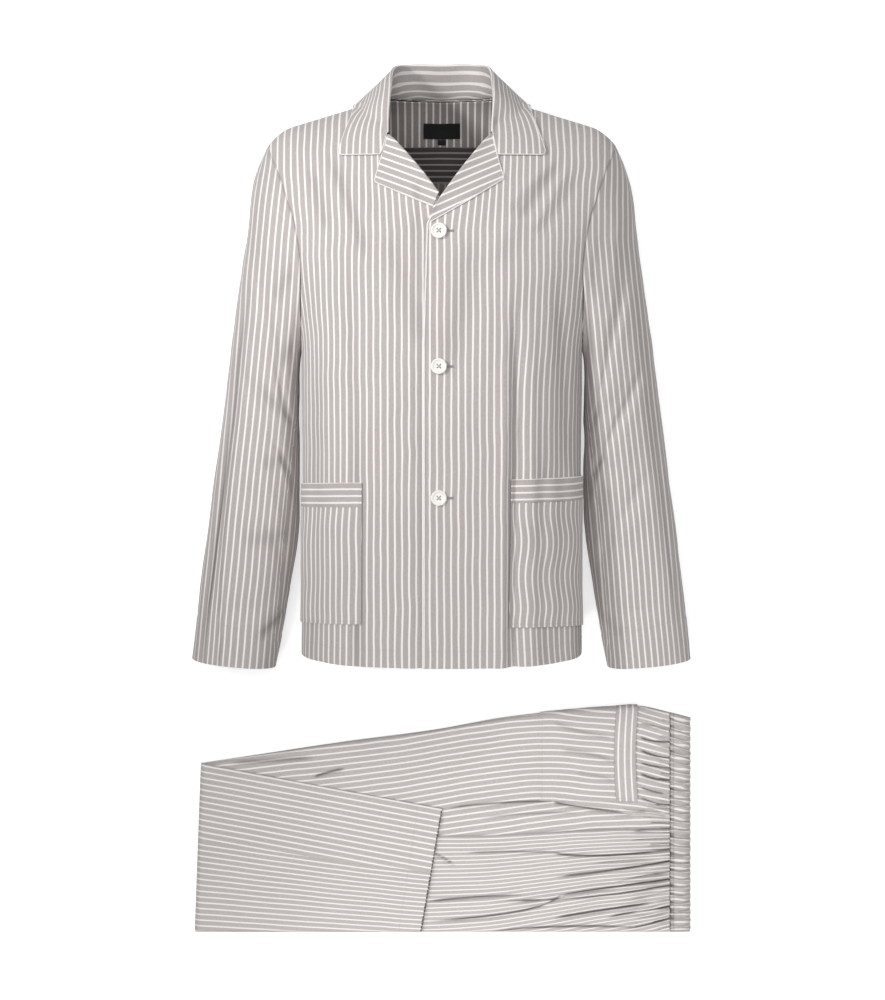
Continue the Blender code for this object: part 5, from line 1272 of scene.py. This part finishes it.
def build_button(name, y):
    z = float(front_z(1, BUTTON_X, y)) + GAP * 3 + 0.0002
    edge, thick, turns = BUTTON_RADIUS, BUTTON_THICK, np.radians((0, 30, 60, 90))
    foot = [(edge - 0.0009 + 0.0009 * math.sin(a), 0.0009 - 0.0009 * math.cos(a)) for a in turns]
    rim = [(edge - 0.0010 + 0.0010 * math.cos(a), thick - 0.0010 + 0.0010 * math.sin(a))
           for a in turns]
    dish = [(edge - 0.0020, thick), (edge - 0.0026, thick - 0.0003), (edge - 0.0034, thick - 0.0008),
            (edge - 0.0050, thick - 0.0010), (0.0040, thick - 0.0010)]
    points, faces = lathe([(0, 0)] + foot + rim + dish + [(0, thick - 0.0010)], 48)
    place = in_frame(BUTTON_X, y, z)
    body = mesh_object("body_" + name, points + place, faces, BUTTON_PLASTIC)
    hole, hole_faces = lathe([(0, -0.01), (HOLE_RADIUS, -0.01), (HOLE_RADIUS, 0.01), (0, 0.01)], 16)
    cut_points, cut_faces = [], []
    for k, (sx, sy) in enumerate(((-1, -1), (-1, 1), (1, -1), (1, 1))):
        cut_points.append(hole + place + (sx * HOLE_SPREAD, sy * HOLE_SPREAD, 0))
        cut_faces += [[v + k * len(hole) for v in face] for face in hole_faces]
    cutter_mesh = bpy.data.meshes.new("holes")
    cutter_mesh.from_pydata(np.concatenate(cut_points).tolist(), [], cut_faces)
    cutter = bpy.data.objects.new("holes", cutter_mesh)
    bpy.context.scene.collection.objects.link(cutter)
    cut = body.modifiers.new("holes", "BOOLEAN")
    cut.object, cut.solver = cutter, "EXACT"
    bpy.context.view_layer.update()
    drilled = body.evaluated_get(bpy.context.evaluated_depsgraph_get())
    drilled = bpy.data.meshes.new_from_object(drilled)
    body.modifiers.clear()
    body.data = drilled
    drilled.shade_smooth()
    drilled.set_sharp_from_angle(angle=math.radians(35))
    bpy.data.objects.remove(cutter)
    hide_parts(name)
    low, high = z - 0.0004, z + thick - 0.0004
    s, crossing = np.linspace(-1, 1, 9), []
    down = np.clip((np.abs(s) - 0.86) / 0.14, 0, 1)
    for way in (1, -1):
        for shift in (-0.00028, 0.00028):
            crossing.append(np.stack([
                place[0] + s * HOLE_SPREAD + shift * way, place[1] + s * HOLE_SPREAD * way - shift,
                high - (high - low) * down + 0.0002 * (1 - s**2)], axis=-1))
    tubes_object("thread_" + name, [(np.array(crossing), 0.00032)], BUTTON_THREAD)


def build_buttonhole(name, y):
    """A worked slit that shows past the button's edge."""
    start, end = BUTTON_X + 0.0085, BUTTON_X + 0.0182
    y = y - 0.0002
    bars = [[(x, y + way * 0.00025), (x, y + way * 0.0009), (x, y + way * 0.0016)]
            for x in np.arange(start, end, 0.00048) for way in (-1, 1)]
    bars += [[(end, y + off), (end + 0.0008, y + off), (end + 0.0015, y + off)]
             for off in np.linspace(-0.0014, 0.0014, 7)]
    x, across = np.moveaxis(np.array(bars), -1, 0)
    paths = in_frame(x, across, rested_z(1, x, across) + (0.0001, 0.00055, 0.0001))
    # painted shade: a grey line sunk along the slit for the shade in its gap
    x = np.linspace(start, end, 12)
    slit = in_frame(x, y + 0 * x, rested_z(1, x, y + 0 * x) - 0.00005)
    tubes_object("buttonhole_" + name, [(paths, 0.00026)], SEAM_THREAD, 5)
    tubes_object("slit_" + name, [(slit[None], 0.00032)], SLIT_SHADE_LINE)


for name, y in BUTTON_Y.items():
    build_button(name, y)
    build_buttonhole(name.replace("button_", ""), y)


# --- trousers --------------------------------------------------------------------------------

def leg_top_y(x):
    return along(LEG_TOP, "x", "y", x)


def leg_seam_y(x):
    return along(LEG_SEAM, "x", "y", x)


def leg_foot_y(x):
    return LEG_FOOT_Y + FOLDED_INSET * (1 - ease(*FOLDED_FADE, x))


def rounded_off(s):
    return 1 - np.sqrt(1 - (1 - np.clip(s, 0, 1)) ** 2)


def wave(count, share):
    return 0.5 - 0.5 * np.cos(2 * math.pi * count * share)


def folded_in(folds, x, y):
    """Sharp-bottomed folds with a low swell on either side."""
    total = np.zeros(np.broadcast(x, y).shape)
    for a, b, c, breadth, depth in folds:
        d, s = from_line(smooth_line(a, b, c), x, y)
        fade = ease(-0.02, 0.22, s) * (1 - 0.45 * ease(0.85, 1.0, s) * (c[0] < 0.30))
        ends = np.minimum(np.hypot(x - a[0], y - a[1]), np.hypot(x - c[0], y - c[1]))
        fade = fade * np.where((s <= 0) | (s >= 1), np.exp(-ends / 0.006), 1)
        trough = 1 / (1 + (d / (0.55 * breadth)) ** 2) * bell(d, 2.2 * breadth)
        swell = bell(d - 2.2 * breadth, 1.3 * breadth)
        total = total + fade * depth * (0.40 * swell - trough)
    return total


def waist_pinches():
    """Short gathers that run out from the waistband, of uneven length, depth and spacing."""
    rng, made, y = np.random.default_rng(17), [], -0.3045
    while y > -0.594:
        slope = np.interp(y, PINCH_RISE["y"], PINCH_RISE["slope"]) + rng.uniform(-0.04, 0.04)
        reach = rng.uniform(0.010, 0.022) if y > -0.425 else rng.uniform(0.014, 0.060)
        bow = rng.uniform(-0.0010, 0.0010)
        start, half_way = ((WAIST_X - back, y - slope * back) for back in (reach, reach * 0.5))
        made.append((start, (half_way[0], half_way[1] + bow), (WAIST_X + 0.0003, y),
                     rng.uniform(0.0011, 0.0017), rng.uniform(0.0011, 0.0022)))
        y -= rng.uniform(0.0050, 0.0098)
    return made


PINCHES = waist_pinches()
FOLDS_OF = {
    "trousers_back": [*LEG_FOLDS, *(p for p in PINCHES if p[2][1] < -0.440)],
    "trousers_front": [*LEG_FOLDS[16:], *HIP_FOLDS, *(p for p in PINCHES if p[2][1] > -0.468)]}


def leg_surface_z(name, x, y, share):
    count, height = GATHERS[name]
    near = ease(WAIST_X - GATHER_REACH, WAIST_X, x) ** 1.5
    base = LEG_LEVEL + creased(LEG_CREASES, x, y) + height * near * wave(count, share)
    fine = 0.0008 * ease(0.16, WAIST_X, x) * noise(x * 0.25, y, 0.0045, 101)
    fine = fine + 0.0004 * noise(x * 0.5, y, 0.012, 102) + 0.0006 * noise(x, y, 0.05, 103)
    return np.maximum(base + folded_in(FOLDS_OF[name], x, y) + fine, UNDER_HEIGHT + 0.0012)


# How far the front's stripes rise towards the waist, over and under the pleat
STRIPE_RISE = {
    "x": (-0.334, -0.20, -0.06, 0.05, 0.120, 0.150, 0.20, 0.245, 0.262, 0.290, 0.320),
    "y": (0.0, 0.0150, 0.0313, 0.0494, 0.0577, 0.0588, 0.0543, 0.0507, 0.0482, 0.0420, 0.0350),
    "under": (0.0, 0.0150, 0.0325, 0.0470, 0.0570, 0.0612, 0.0672, 0.0690, 0.0690, 0.0675, 0.0655)}
PLEAT_LINE = ((0.000, -0.4270), (0.076, -0.4190), (0.150, -0.4165), (0.184, -0.4235),
              (0.262, -0.4340), (0.314, -0.4370))
BACK_RISE = {"x": (-0.34, 0.02, 0.10, 0.20, 0.27, 0.314), "y": (0.0, 0.0, 0.007, 0.020, 0.032, 0.043)}


def leg_cloth(name, x, y):
    """Each point's place across and along the leg's stripes, which step at the pleat."""
    drawn = 0.0010 * noise(x * 0.4, y, 0.014, 111) * ease(0.10, 0.30, x)
    drawn = drawn + 0.0004 * noise(x, y, 0.03, 112)
    if name == "trousers_front":
        under = ease(0.0022, -0.0022, y - np.interp(x, *zip(*PLEAT_LINE)))
        rise = along(STRIPE_RISE, "x", "y", x)
        straight = y - rise - under * (along(STRIPE_RISE, "x", "under", x) - rise)
        straight = straight + 0.05 * (straight + 0.41) * ease(0.24, WAIST_X, x)
        return np.stack([straight + 0.0031 + drawn, x], axis=-1)
    down = leg_seam_y(x) - y
    rise = along(BACK_RISE, "x", "y", x) * np.clip(down / 0.13, 0, 1)
    return np.stack([(down + rise) * 1.42 + 0.0020 + drawn, x], axis=-1)


def leg_shade(name, x, y):
    """Painted shade on the trousers: darker in their folds, with a painted shadow beside the folded
    leg's hem.
    """
    folds = folded_in(FOLDS_OF[name], x, y)
    # painted shadow that the folded leg's hem casts on the leg beneath
    hem, _ = from_line((FOLDED["hem_top"], FOLDED["hem_foot"]), x, y)
    beside = 0.45 * bell(hem, 0.0030) * (y < FOLDED["hem_top"][1])
    return np.clip((-folds - 0.0002) / 0.0020, 0, 1) + beside


def flat_shell(name, points, thick, cloth, fold=None):
    normals = grid_normals(points)
    normals = np.where(np.mean(normals[..., 2]) < 0, -1, 1) * normals
    inner = points - normals * thick
    inner[..., 2] = np.maximum(inner[..., 2], points[..., 2] - thick * 1.3)
    shell(name, points, inner, cloth, LEG_COTTON, fold=fold)
    grids[name] = (points, normals)


CURL_TURNS = np.radians(np.linspace(0, 90, 9))[:-1]
LEG_BREADTH = 0.12


def build_leg(name, outline, start_x, count):
    """A panel from its curled edge to the side seam."""
    x = np.concatenate([np.linspace(start_x, 0.10, 90),
                        np.linspace(0.10, WAIST_X - 0.0003, 120)[1:]])
    edge = outline(x)
    way = np.sign(leg_seam_y(x) - edge)
    start = edge + way * LEG_CURL
    # shade collects each row's painted shade: in the folds, and darker along the side seam
    rows, cloth, shade = [], [], []
    for turn in CURL_TURNS:
        y = edge + way * LEG_CURL * (1 - math.cos(turn))
        z = CURL_FOOT_Z + (leg_surface_z(name, x, start, 0) - CURL_FOOT_Z) * math.sin(turn)
        rows.append(np.stack([x, y + SHIFT_Y, z], axis=-1))
        cloth.append(leg_cloth(name, x, edge + way * LEG_CURL * (turn - 0.57)))
        shade.append(leg_shade(name, x, y))
    for share in np.linspace(0, 1, count):
        y = start + (leg_seam_y(x) - start) * share
        from_seam = (1 - share) * LEG_BREADTH
        z = leg_surface_z(name, x, y, share) - 0.0012 * bell(from_seam, 0.0018)
        rows.append(np.stack([x, y + SHIFT_Y, z], axis=-1))
        cloth.append(leg_cloth(name, x, y))
        shade.append(leg_shade(name, x, y) + 0.35 * bell(from_seam, 0.0014))
    flat_shell(name, np.array(rows), CLOTH, np.array(cloth), np.array(shade))


build_leg("trousers_front", leg_top_y, -0.3335, 138)
build_leg("trousers_back", leg_foot_y, -0.322, 160)


def build_waistband():
    """The gathered casing, whose top is a fold that curls down to the surface."""
    share, part = np.meshgrid(np.linspace(0, 1, 390), np.linspace(0, 1, 27), indexing="ij")
    drift = 0.35 / WAIST_GATHERS * noise(share * 9, part * 0.6, 1.0, 121)
    ripple = wave(WAIST_GATHERS, share + drift)
    fine = wave(WAIST_GATHERS * 2.3, share + 0.5 * drift + 0.006 * part)
    breadth = WAIST_TOP_X - WAIST_X - GAP
    x = WAIST_X + GAP + breadth * part - (WAIST_RUFFLE + 0.0004) * (1 - ripple) * part
    top_y = leg_top_y(WAIST_X + breadth * part)
    y = top_y + (LEG_FOOT_Y - top_y) * share
    bulge = np.sin(math.pi * part) * (ripple - 0.5)
    y = y + 0.0022 * bulge * ease(0, 0.02, share) * ease(0, 0.02, 1 - share)
    arch = np.sin(math.pi * np.clip(part / WAIST_ARCH, 0, 1))
    near_seam, from_seam = bell(part, 0.16), part * breadth
    high = LEG_LEVEL + WAIST_RISE * arch + (WAIST_WAVE + 0.0012 * arch) * ripple
    high = high + 0.0009 * fine * (0.5 + near_seam)
    high = high - 0.0012 * bell(from_seam, 0.0012) - 0.0006 * bell(from_seam - 0.0045, 0.0010)
    from_end = np.minimum(share, 1 - share) * np.abs(LEG_FOOT_Y - top_y)
    down = np.maximum(rounded_off(from_end / LEG_CURL), rounded_off((1 - part) / WAIST_ROUND))
    points = np.stack([x, y + SHIFT_Y, high - (high - CURL_FOOT_Z) * down], axis=-1)
    across = share * WAIST_LENGTH * np.interp(share, (0, 1), (1.10, 1.34))
    across = across + 0.0007 * noise(share * 40, part * 1.3, 1.0, 122) + 0.0015 * bulge
    # painted shade: darker in the troughs of the gathers, along the seam and in scattered patches
    narrow = (1 - ripple) ** 3 * (0.35 + 0.65 * near_seam) + 0.6 * (1 - fine) ** 4 * near_seam
    shade = 1.45 * narrow * (0.6 + 0.4 * noise(share * 60, part, 1.0, 123))
    shade = shade + 0.45 * bell(from_seam, 0.0012) + 0.25 * bell(from_seam - 0.0048, 0.0010)
    shade = shade + 0.30 * np.maximum(0, noise(share * 46, part * 2.2, 1.0, 124) - 0.25)
    flat_shell("waistband", points, CLOTH, np.stack([across + 0.0015, x], axis=-1), shade)


build_waistband()


def folded_grid(name):
    """The lower leg folded back over the rest at the knee: one half of it."""
    upper = name == "lower_leg_upper"
    low_edge = LEG_LEVEL + FOLDED_CLOTH * 0.7 if upper else CURL_FOOT_Z
    left, hem, seam_left, seam_hem = (np.array(FOLDED[corner]) for corner in (
        "left_top" if upper else "left_foot", "hem_top" if upper else "hem_foot",
        "seam_left", "seam_hem"))
    wide = np.linalg.norm(left - seam_left)
    fold_share, curl_share = FOLD_CURL / FOLDED_LENGTH, LEG_CURL / wide
    curl = 1 - np.cos(CURL_TURNS)
    a = np.concatenate([fold_share * curl, np.linspace(fold_share, 1, 120)])
    b = np.concatenate([curl_share * curl, np.linspace(curl_share, 1, 54)])
    b, a = np.meshgrid(b, a, indexing="ij")
    start = left + (seam_left - left) * b[..., None]
    end = hem + (seam_hem - hem) * b[..., None]
    x, y = np.moveaxis(start + (end - start) * a[..., None], -1, 0)
    y = y - 0.0022 * np.sin(math.pi * a) * ease(0.3, 1.0, b)
    fold, edge = rounded_off(a / fold_share), rounded_off(b / curl_share)
    swell = FOLD_SWELL * bell(a * FOLDED_LENGTH, SWELL_REACH)
    soft = 0.0006 * noise(x, y, 0.05, 131) + 0.0003 * noise(x, y, 0.02, 132)
    soft = soft - 0.0008 * bell((1 - b) * wide, 0.0016)
    soft = soft - 0.0004 * bell((1 - a) * FOLDED_LENGTH - 0.030, 0.0014)
    soft = soft * ease(0, 1, a / fold_share) * ease(0, 1, b / curl_share)
    z = FOLDED_TOP + soft + swell - (FOLDED_TOP - FOLD_FOOT_Z) * fold
    z = np.maximum(z - (FOLDED_TOP - low_edge) * edge, FOLD_FOOT_Z)
    if upper:
        from_top = left[1] - FOLDED_SLOPE * (x - left[0]) - y
        across = from_top / math.hypot(1, FOLDED_SLOPE) * 1.02 - 0.0026
    else:
        across = (1 - b) * 0.1350 * (1 - 0.15 * a) + 0.0020 + 0.0006 * noise(x, y, 0.05, 133)
    return np.stack([x, y + SHIFT_Y, z], axis=-1), np.stack([across, x], axis=-1)


FOLDED_SLOPE = 0.186        # of the stripes on the half above the seam
for name in ("lower_leg_upper", "lower_leg_lower"):
    points, cloth = folded_grid(name)
    flat_shell(name, points, FOLDED_LEG_CLOTH, cloth)


def build_leg_pocket():
    for name, (left, right) in LEG_POCKET.items():
        patch = name == "trousers_pocket"
        down = np.append(np.linspace(0, 1, 80), 1 + np.linspace(0, 1.25, 10)[1:])
        part, v = np.meshgrid(np.linspace(0, 1, 60 if patch else 20), down)
        over, v = np.maximum(v - 1, 0), np.minimum(v, 1)
        x = left + (right - left) * part
        top = leg_top_y(x) - LEG_CURL
        y = LEG_POCKET_FOOT + (top - LEG_POCKET_FOOT) * v
        x = x - LEG_POCKET_BOW * np.sin(math.pi * v) * (part if patch else 1)
        thick = 0.0010 if patch else BAND_CLOTH
        rim = np.minimum(np.minimum(part, 1 - part) * (right - left), v * 0.13)
        base = leg_surface_z("trousers_front", x, y, 0.5 + 0 * x)
        low = GAP * 3 + 0.0002
        high = low + thick - 0.0003 * bell(rim - 0.0028, 0.0009)

        def lifted(by):
            """A point so far above the leg, or outside its curled edge past the top."""
            z = CURL_FOOT_Z + (base - CURL_FOOT_Z + by) * np.cos(over)
            return np.stack([x, y + (LEG_CURL + by) * np.sin(over) + SHIFT_Y, z], axis=-1)

        points, upper = lifted(low), lifted(high)
        if patch:
            cloth = leg_cloth("trousers_front", x, y + LEG_CURL * over)
        else:
            cloth = np.stack([part * (right - left) - 0.0056, y + LEG_CURL * over], axis=-1)
        # painted shade of the leg's folds, weaker on the pocket
        shade = leg_shade("trousers_front", x, y) * 0.6
        shell(name, upper, points, cloth, LEG_COTTON if patch else LEG_BAND_COTTON, fold=shade)
        grids[name] = (upper, np.zeros_like(upper) + (0, 0, 1))


build_leg_pocket()


def build_under_layers():
    """The hidden layers: one rounded stack whose side shows the lips of its folds."""
    columns = np.linspace(-0.322, 0.3137, 90)
    top = [(x, float(leg_top_y(x))) for x in columns]
    foot = [(x, float(leg_foot_y(x))) for x in columns[::-1]]
    outline = np.array(top + list(UNDER_RIGHT) + foot + list(UNDER_LEFT))
    edges = np.roll(outline, -1, axis=0) - np.roll(outline, 1, axis=0)
    out = unit(np.stack([edges[:, 1], -edges[:, 0]], axis=-1))
    if np.mean(np.sum(out * (outline - outline.mean(axis=0)), axis=1)) < 0:
        out = -out
    profile = [(0.0060, 0.0)]
    for layer in range(3):
        for a in np.radians((-70, -35, 0, 35, 70)):
            profile.append((0.0016 + 0.0010 * (1 - math.cos(a)) + 0.0012 * layer,
                            0.0001 + 0.0019 * layer + 0.00095 * (1 + math.sin(a))))
    profile.append((0.0075, 0.0060))
    n = len(outline)
    points = np.concatenate([np.column_stack([outline - out * inset, np.full(n, z)])
                             for inset, z in profile])
    points[:, 1] += SHIFT_Y
    last = len(points) - n
    faces = [list(range(n))[::-1], list(range(last, last + n))]
    for i in range(0, last, n):
        for j in range(n):
            k = (j + 1) % n
            faces.append([i + j, i + k, i + n + k, i + n + j])
    uvs = [(points[v][1] + points[v][2] * 3, points[v][0]) for face in faces for v in face]
    made = mesh_object("trousers_under_layers_cloth", points, faces, LEG_COTTON, uvs, sharp=70)
    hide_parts("trousers_under_layers")
    return made


under_layers = build_under_layers()


# --- stitching -------------------------------------------------------------------------------

def stitched(name, line, **options):
    """Stitches along a line on a piece: shares of its rows from and to, then of its columns."""
    points, normals = grids[name]
    rows = np.linspace(*line[:2], 200) * (points.shape[0] - 1)
    columns = np.linspace(*line[2:], 200) * (points.shape[1] - 1)
    return stitches(on_grid(points, rows, columns), on_grid(normals, rows, columns), **options)


HEM_LINE, CUFF_LINE = HEM_TURN / FRONT_LENGTH, 1 - CUFF_TURN / SLEEVE_LENGTH
JACKET_LINES = {
    "front_": [(HEM_LINE, HEM_LINE, 0.01, 0.995)],
    "pocket_": [(0.03, 0.99, 0.026, 0.026), (0.03, 0.99, 0.974, 0.974), (0.026, 0.026, 0.02, 0.98)],
    "pocket_band_": [(0.06, 0.06, 0.01, 0.99), (0.93, 0.93, 0.01, 0.99),
                     (0.03, 0.97, 0.022, 0.022), (0.03, 0.97, 0.978, 0.978)],
    "sleeve_": [(CUFF_LINE, CUFF_LINE, 0, 1)],
    "lapel_": [(0.02, 0.98, 0.93, 0.93)]}
LEG_LINES = {
    "trousers_pocket": [(0.02, 0.98, 0.03, 0.03), (0.03, 0.03, 0.02, 0.98)],
    "trousers_pocket_band": [(0.02, 0.98, 0.08, 0.08), (0.02, 0.98, 0.92, 0.92),
                             (0.03, 0.03, 0.05, 0.95)],
    "waistband": [(0.03, 0.97, 0.10, 0.10), (0.03, 0.97, 0.155, 0.155)],
    "lower_leg_upper": [(0.12, 1, 0.905, 0.905)], "lower_leg_lower": [(0.10, 1, 0.905, 0.905)]}
UNDER_LAP = 0.20        # the right front's inner edge lies under the left
groups = []
for word in SIDES:
    for part, lines in JACKET_LINES.items():
        if part + word == "front_right":
            lines = [(*line[:2], UNDER_LAP, line[3]) for line in lines]
        groups += [(stitched(part + word, line), STITCH_RADIUS) for line in lines]
groups.append((stitched("front_left", (0, LAP_TOP_T, 0.030, 0.030)), STITCH_RADIUS))
groups.append((stitched("collar", (0.012, 0.988, 0.925, 0.925)), STITCH_RADIUS))
tubes_object("jacket_stitching", groups, SEAM_THREAD, 5)
groups = [(stitched(name, line), STITCH_RADIUS) for name in LEG_LINES for line in LEG_LINES[name]]
tubes_object("trousers_stitching", groups, SEAM_THREAD, 5)
# stitches along the folded leg's hem, their dark thread partly a painted shadow of the hem's edge
groups = []
for name in ("lower_leg_upper", "lower_leg_lower"):
    line = stitched(name, (0.10, 1, 0.9985, 0.9985), length=0.0030, gap=0.0016, rise=0.0004)
    groups += [(line[::2], 0.00085), (line[1::4], 0.00060), (line[3::4], 0.00110)]
tubes_object("trousers_hem_stitches_and_shadow", groups, HEM_STITCH_AND_SHADOW)

# --- floor, light and camera -----------------------------------------------------------------

def add_floor(half=6.0, z=-0.0003):
    n = Nodes("floor")
    cloud = n.noise(n.add("ShaderNodeTexCoord", output=3), 3.0)
    tone = n.mix(n.step(cloud, 0.3, 0.7), (0.790, 0.790, 0.790, 1), (0.800, 0.800, 0.800, 1))
    mesh = bpy.data.meshes.new("floor")
    corners = ((-1, -1), (1, -1), (1, 1), (-1, 1))
    mesh.from_pydata([(half * x, half * y, z) for x, y in corners], [], [(0, 1, 2, 3)])
    mesh.materials.append(n.shaded({
        "Base Color": tone, "Roughness": 0.9, "Specular IOR Level": 0.0,
        "Emission Color": (1, 1, 1, 1), "Emission Strength": 0.55}))
    floor = bpy.data.objects.new("floor", mesh)
    bpy.context.scene.collection.objects.link(floor)
    floor.visible_diffuse = False


def add_light(kind, name, place, target, energy, size, angle=0.0):
    light = bpy.data.lights.new(name, kind)
    light.energy = energy
    if kind == "AREA":
        light.shape = "DISK"
        light.size = size
    else:
        light.shadow_soft_size = size
        light.spot_size = math.radians(angle)
        light.spot_blend = 1.0
    lamp = bpy.data.objects.new(name, light)
    bpy.context.scene.collection.objects.link(lamp)
    lamp.location = place
    lamp.rotation_euler = (Vector(target) - Vector(place)).to_track_quat("-Z", "Y").to_euler()


add_floor()
add_light("SPOT", "key", (-2.2, 0.95, 2.55), (-0.12, 0.34, 0.12), 305, 0.30, 24)
add_light("SPOT", "low key", (-0.9, -1.9, 2.4), (0.06, -0.68, 0.0), 208, 0.30, 24)
add_light("AREA", "overhead", (-0.3, 0.1, 4.2), (0, 0, 0), 51, 2.0)
add_light("AREA", "side fill", (2.0, 1.5, 2.6), (0.1, 0.2, 0.1), 20, 1.5)
world = bpy.data.worlds.new("studio")
bpy.context.scene.world = world
world.use_nodes = True
world.node_tree.nodes["Background"].inputs[0].default_value = (1, 1, 1, 1)
world.node_tree.nodes["Background"].inputs[1].default_value = 0.33

lens = bpy.data.cameras.new("camera")
lens.lens, lens.sensor_width, lens.clip_start, lens.clip_end = 83.07, 36, 0.01, 50
camera = bpy.data.objects.new("camera", lens)
bpy.context.scene.collection.objects.link(camera)
camera.location = (0, 0.0046, 3.2)
bpy.context.scene.camera = camera
bpy.context.scene.view_settings.view_transform = "Standard"
bpy.context.scene.view_settings.look = "None"
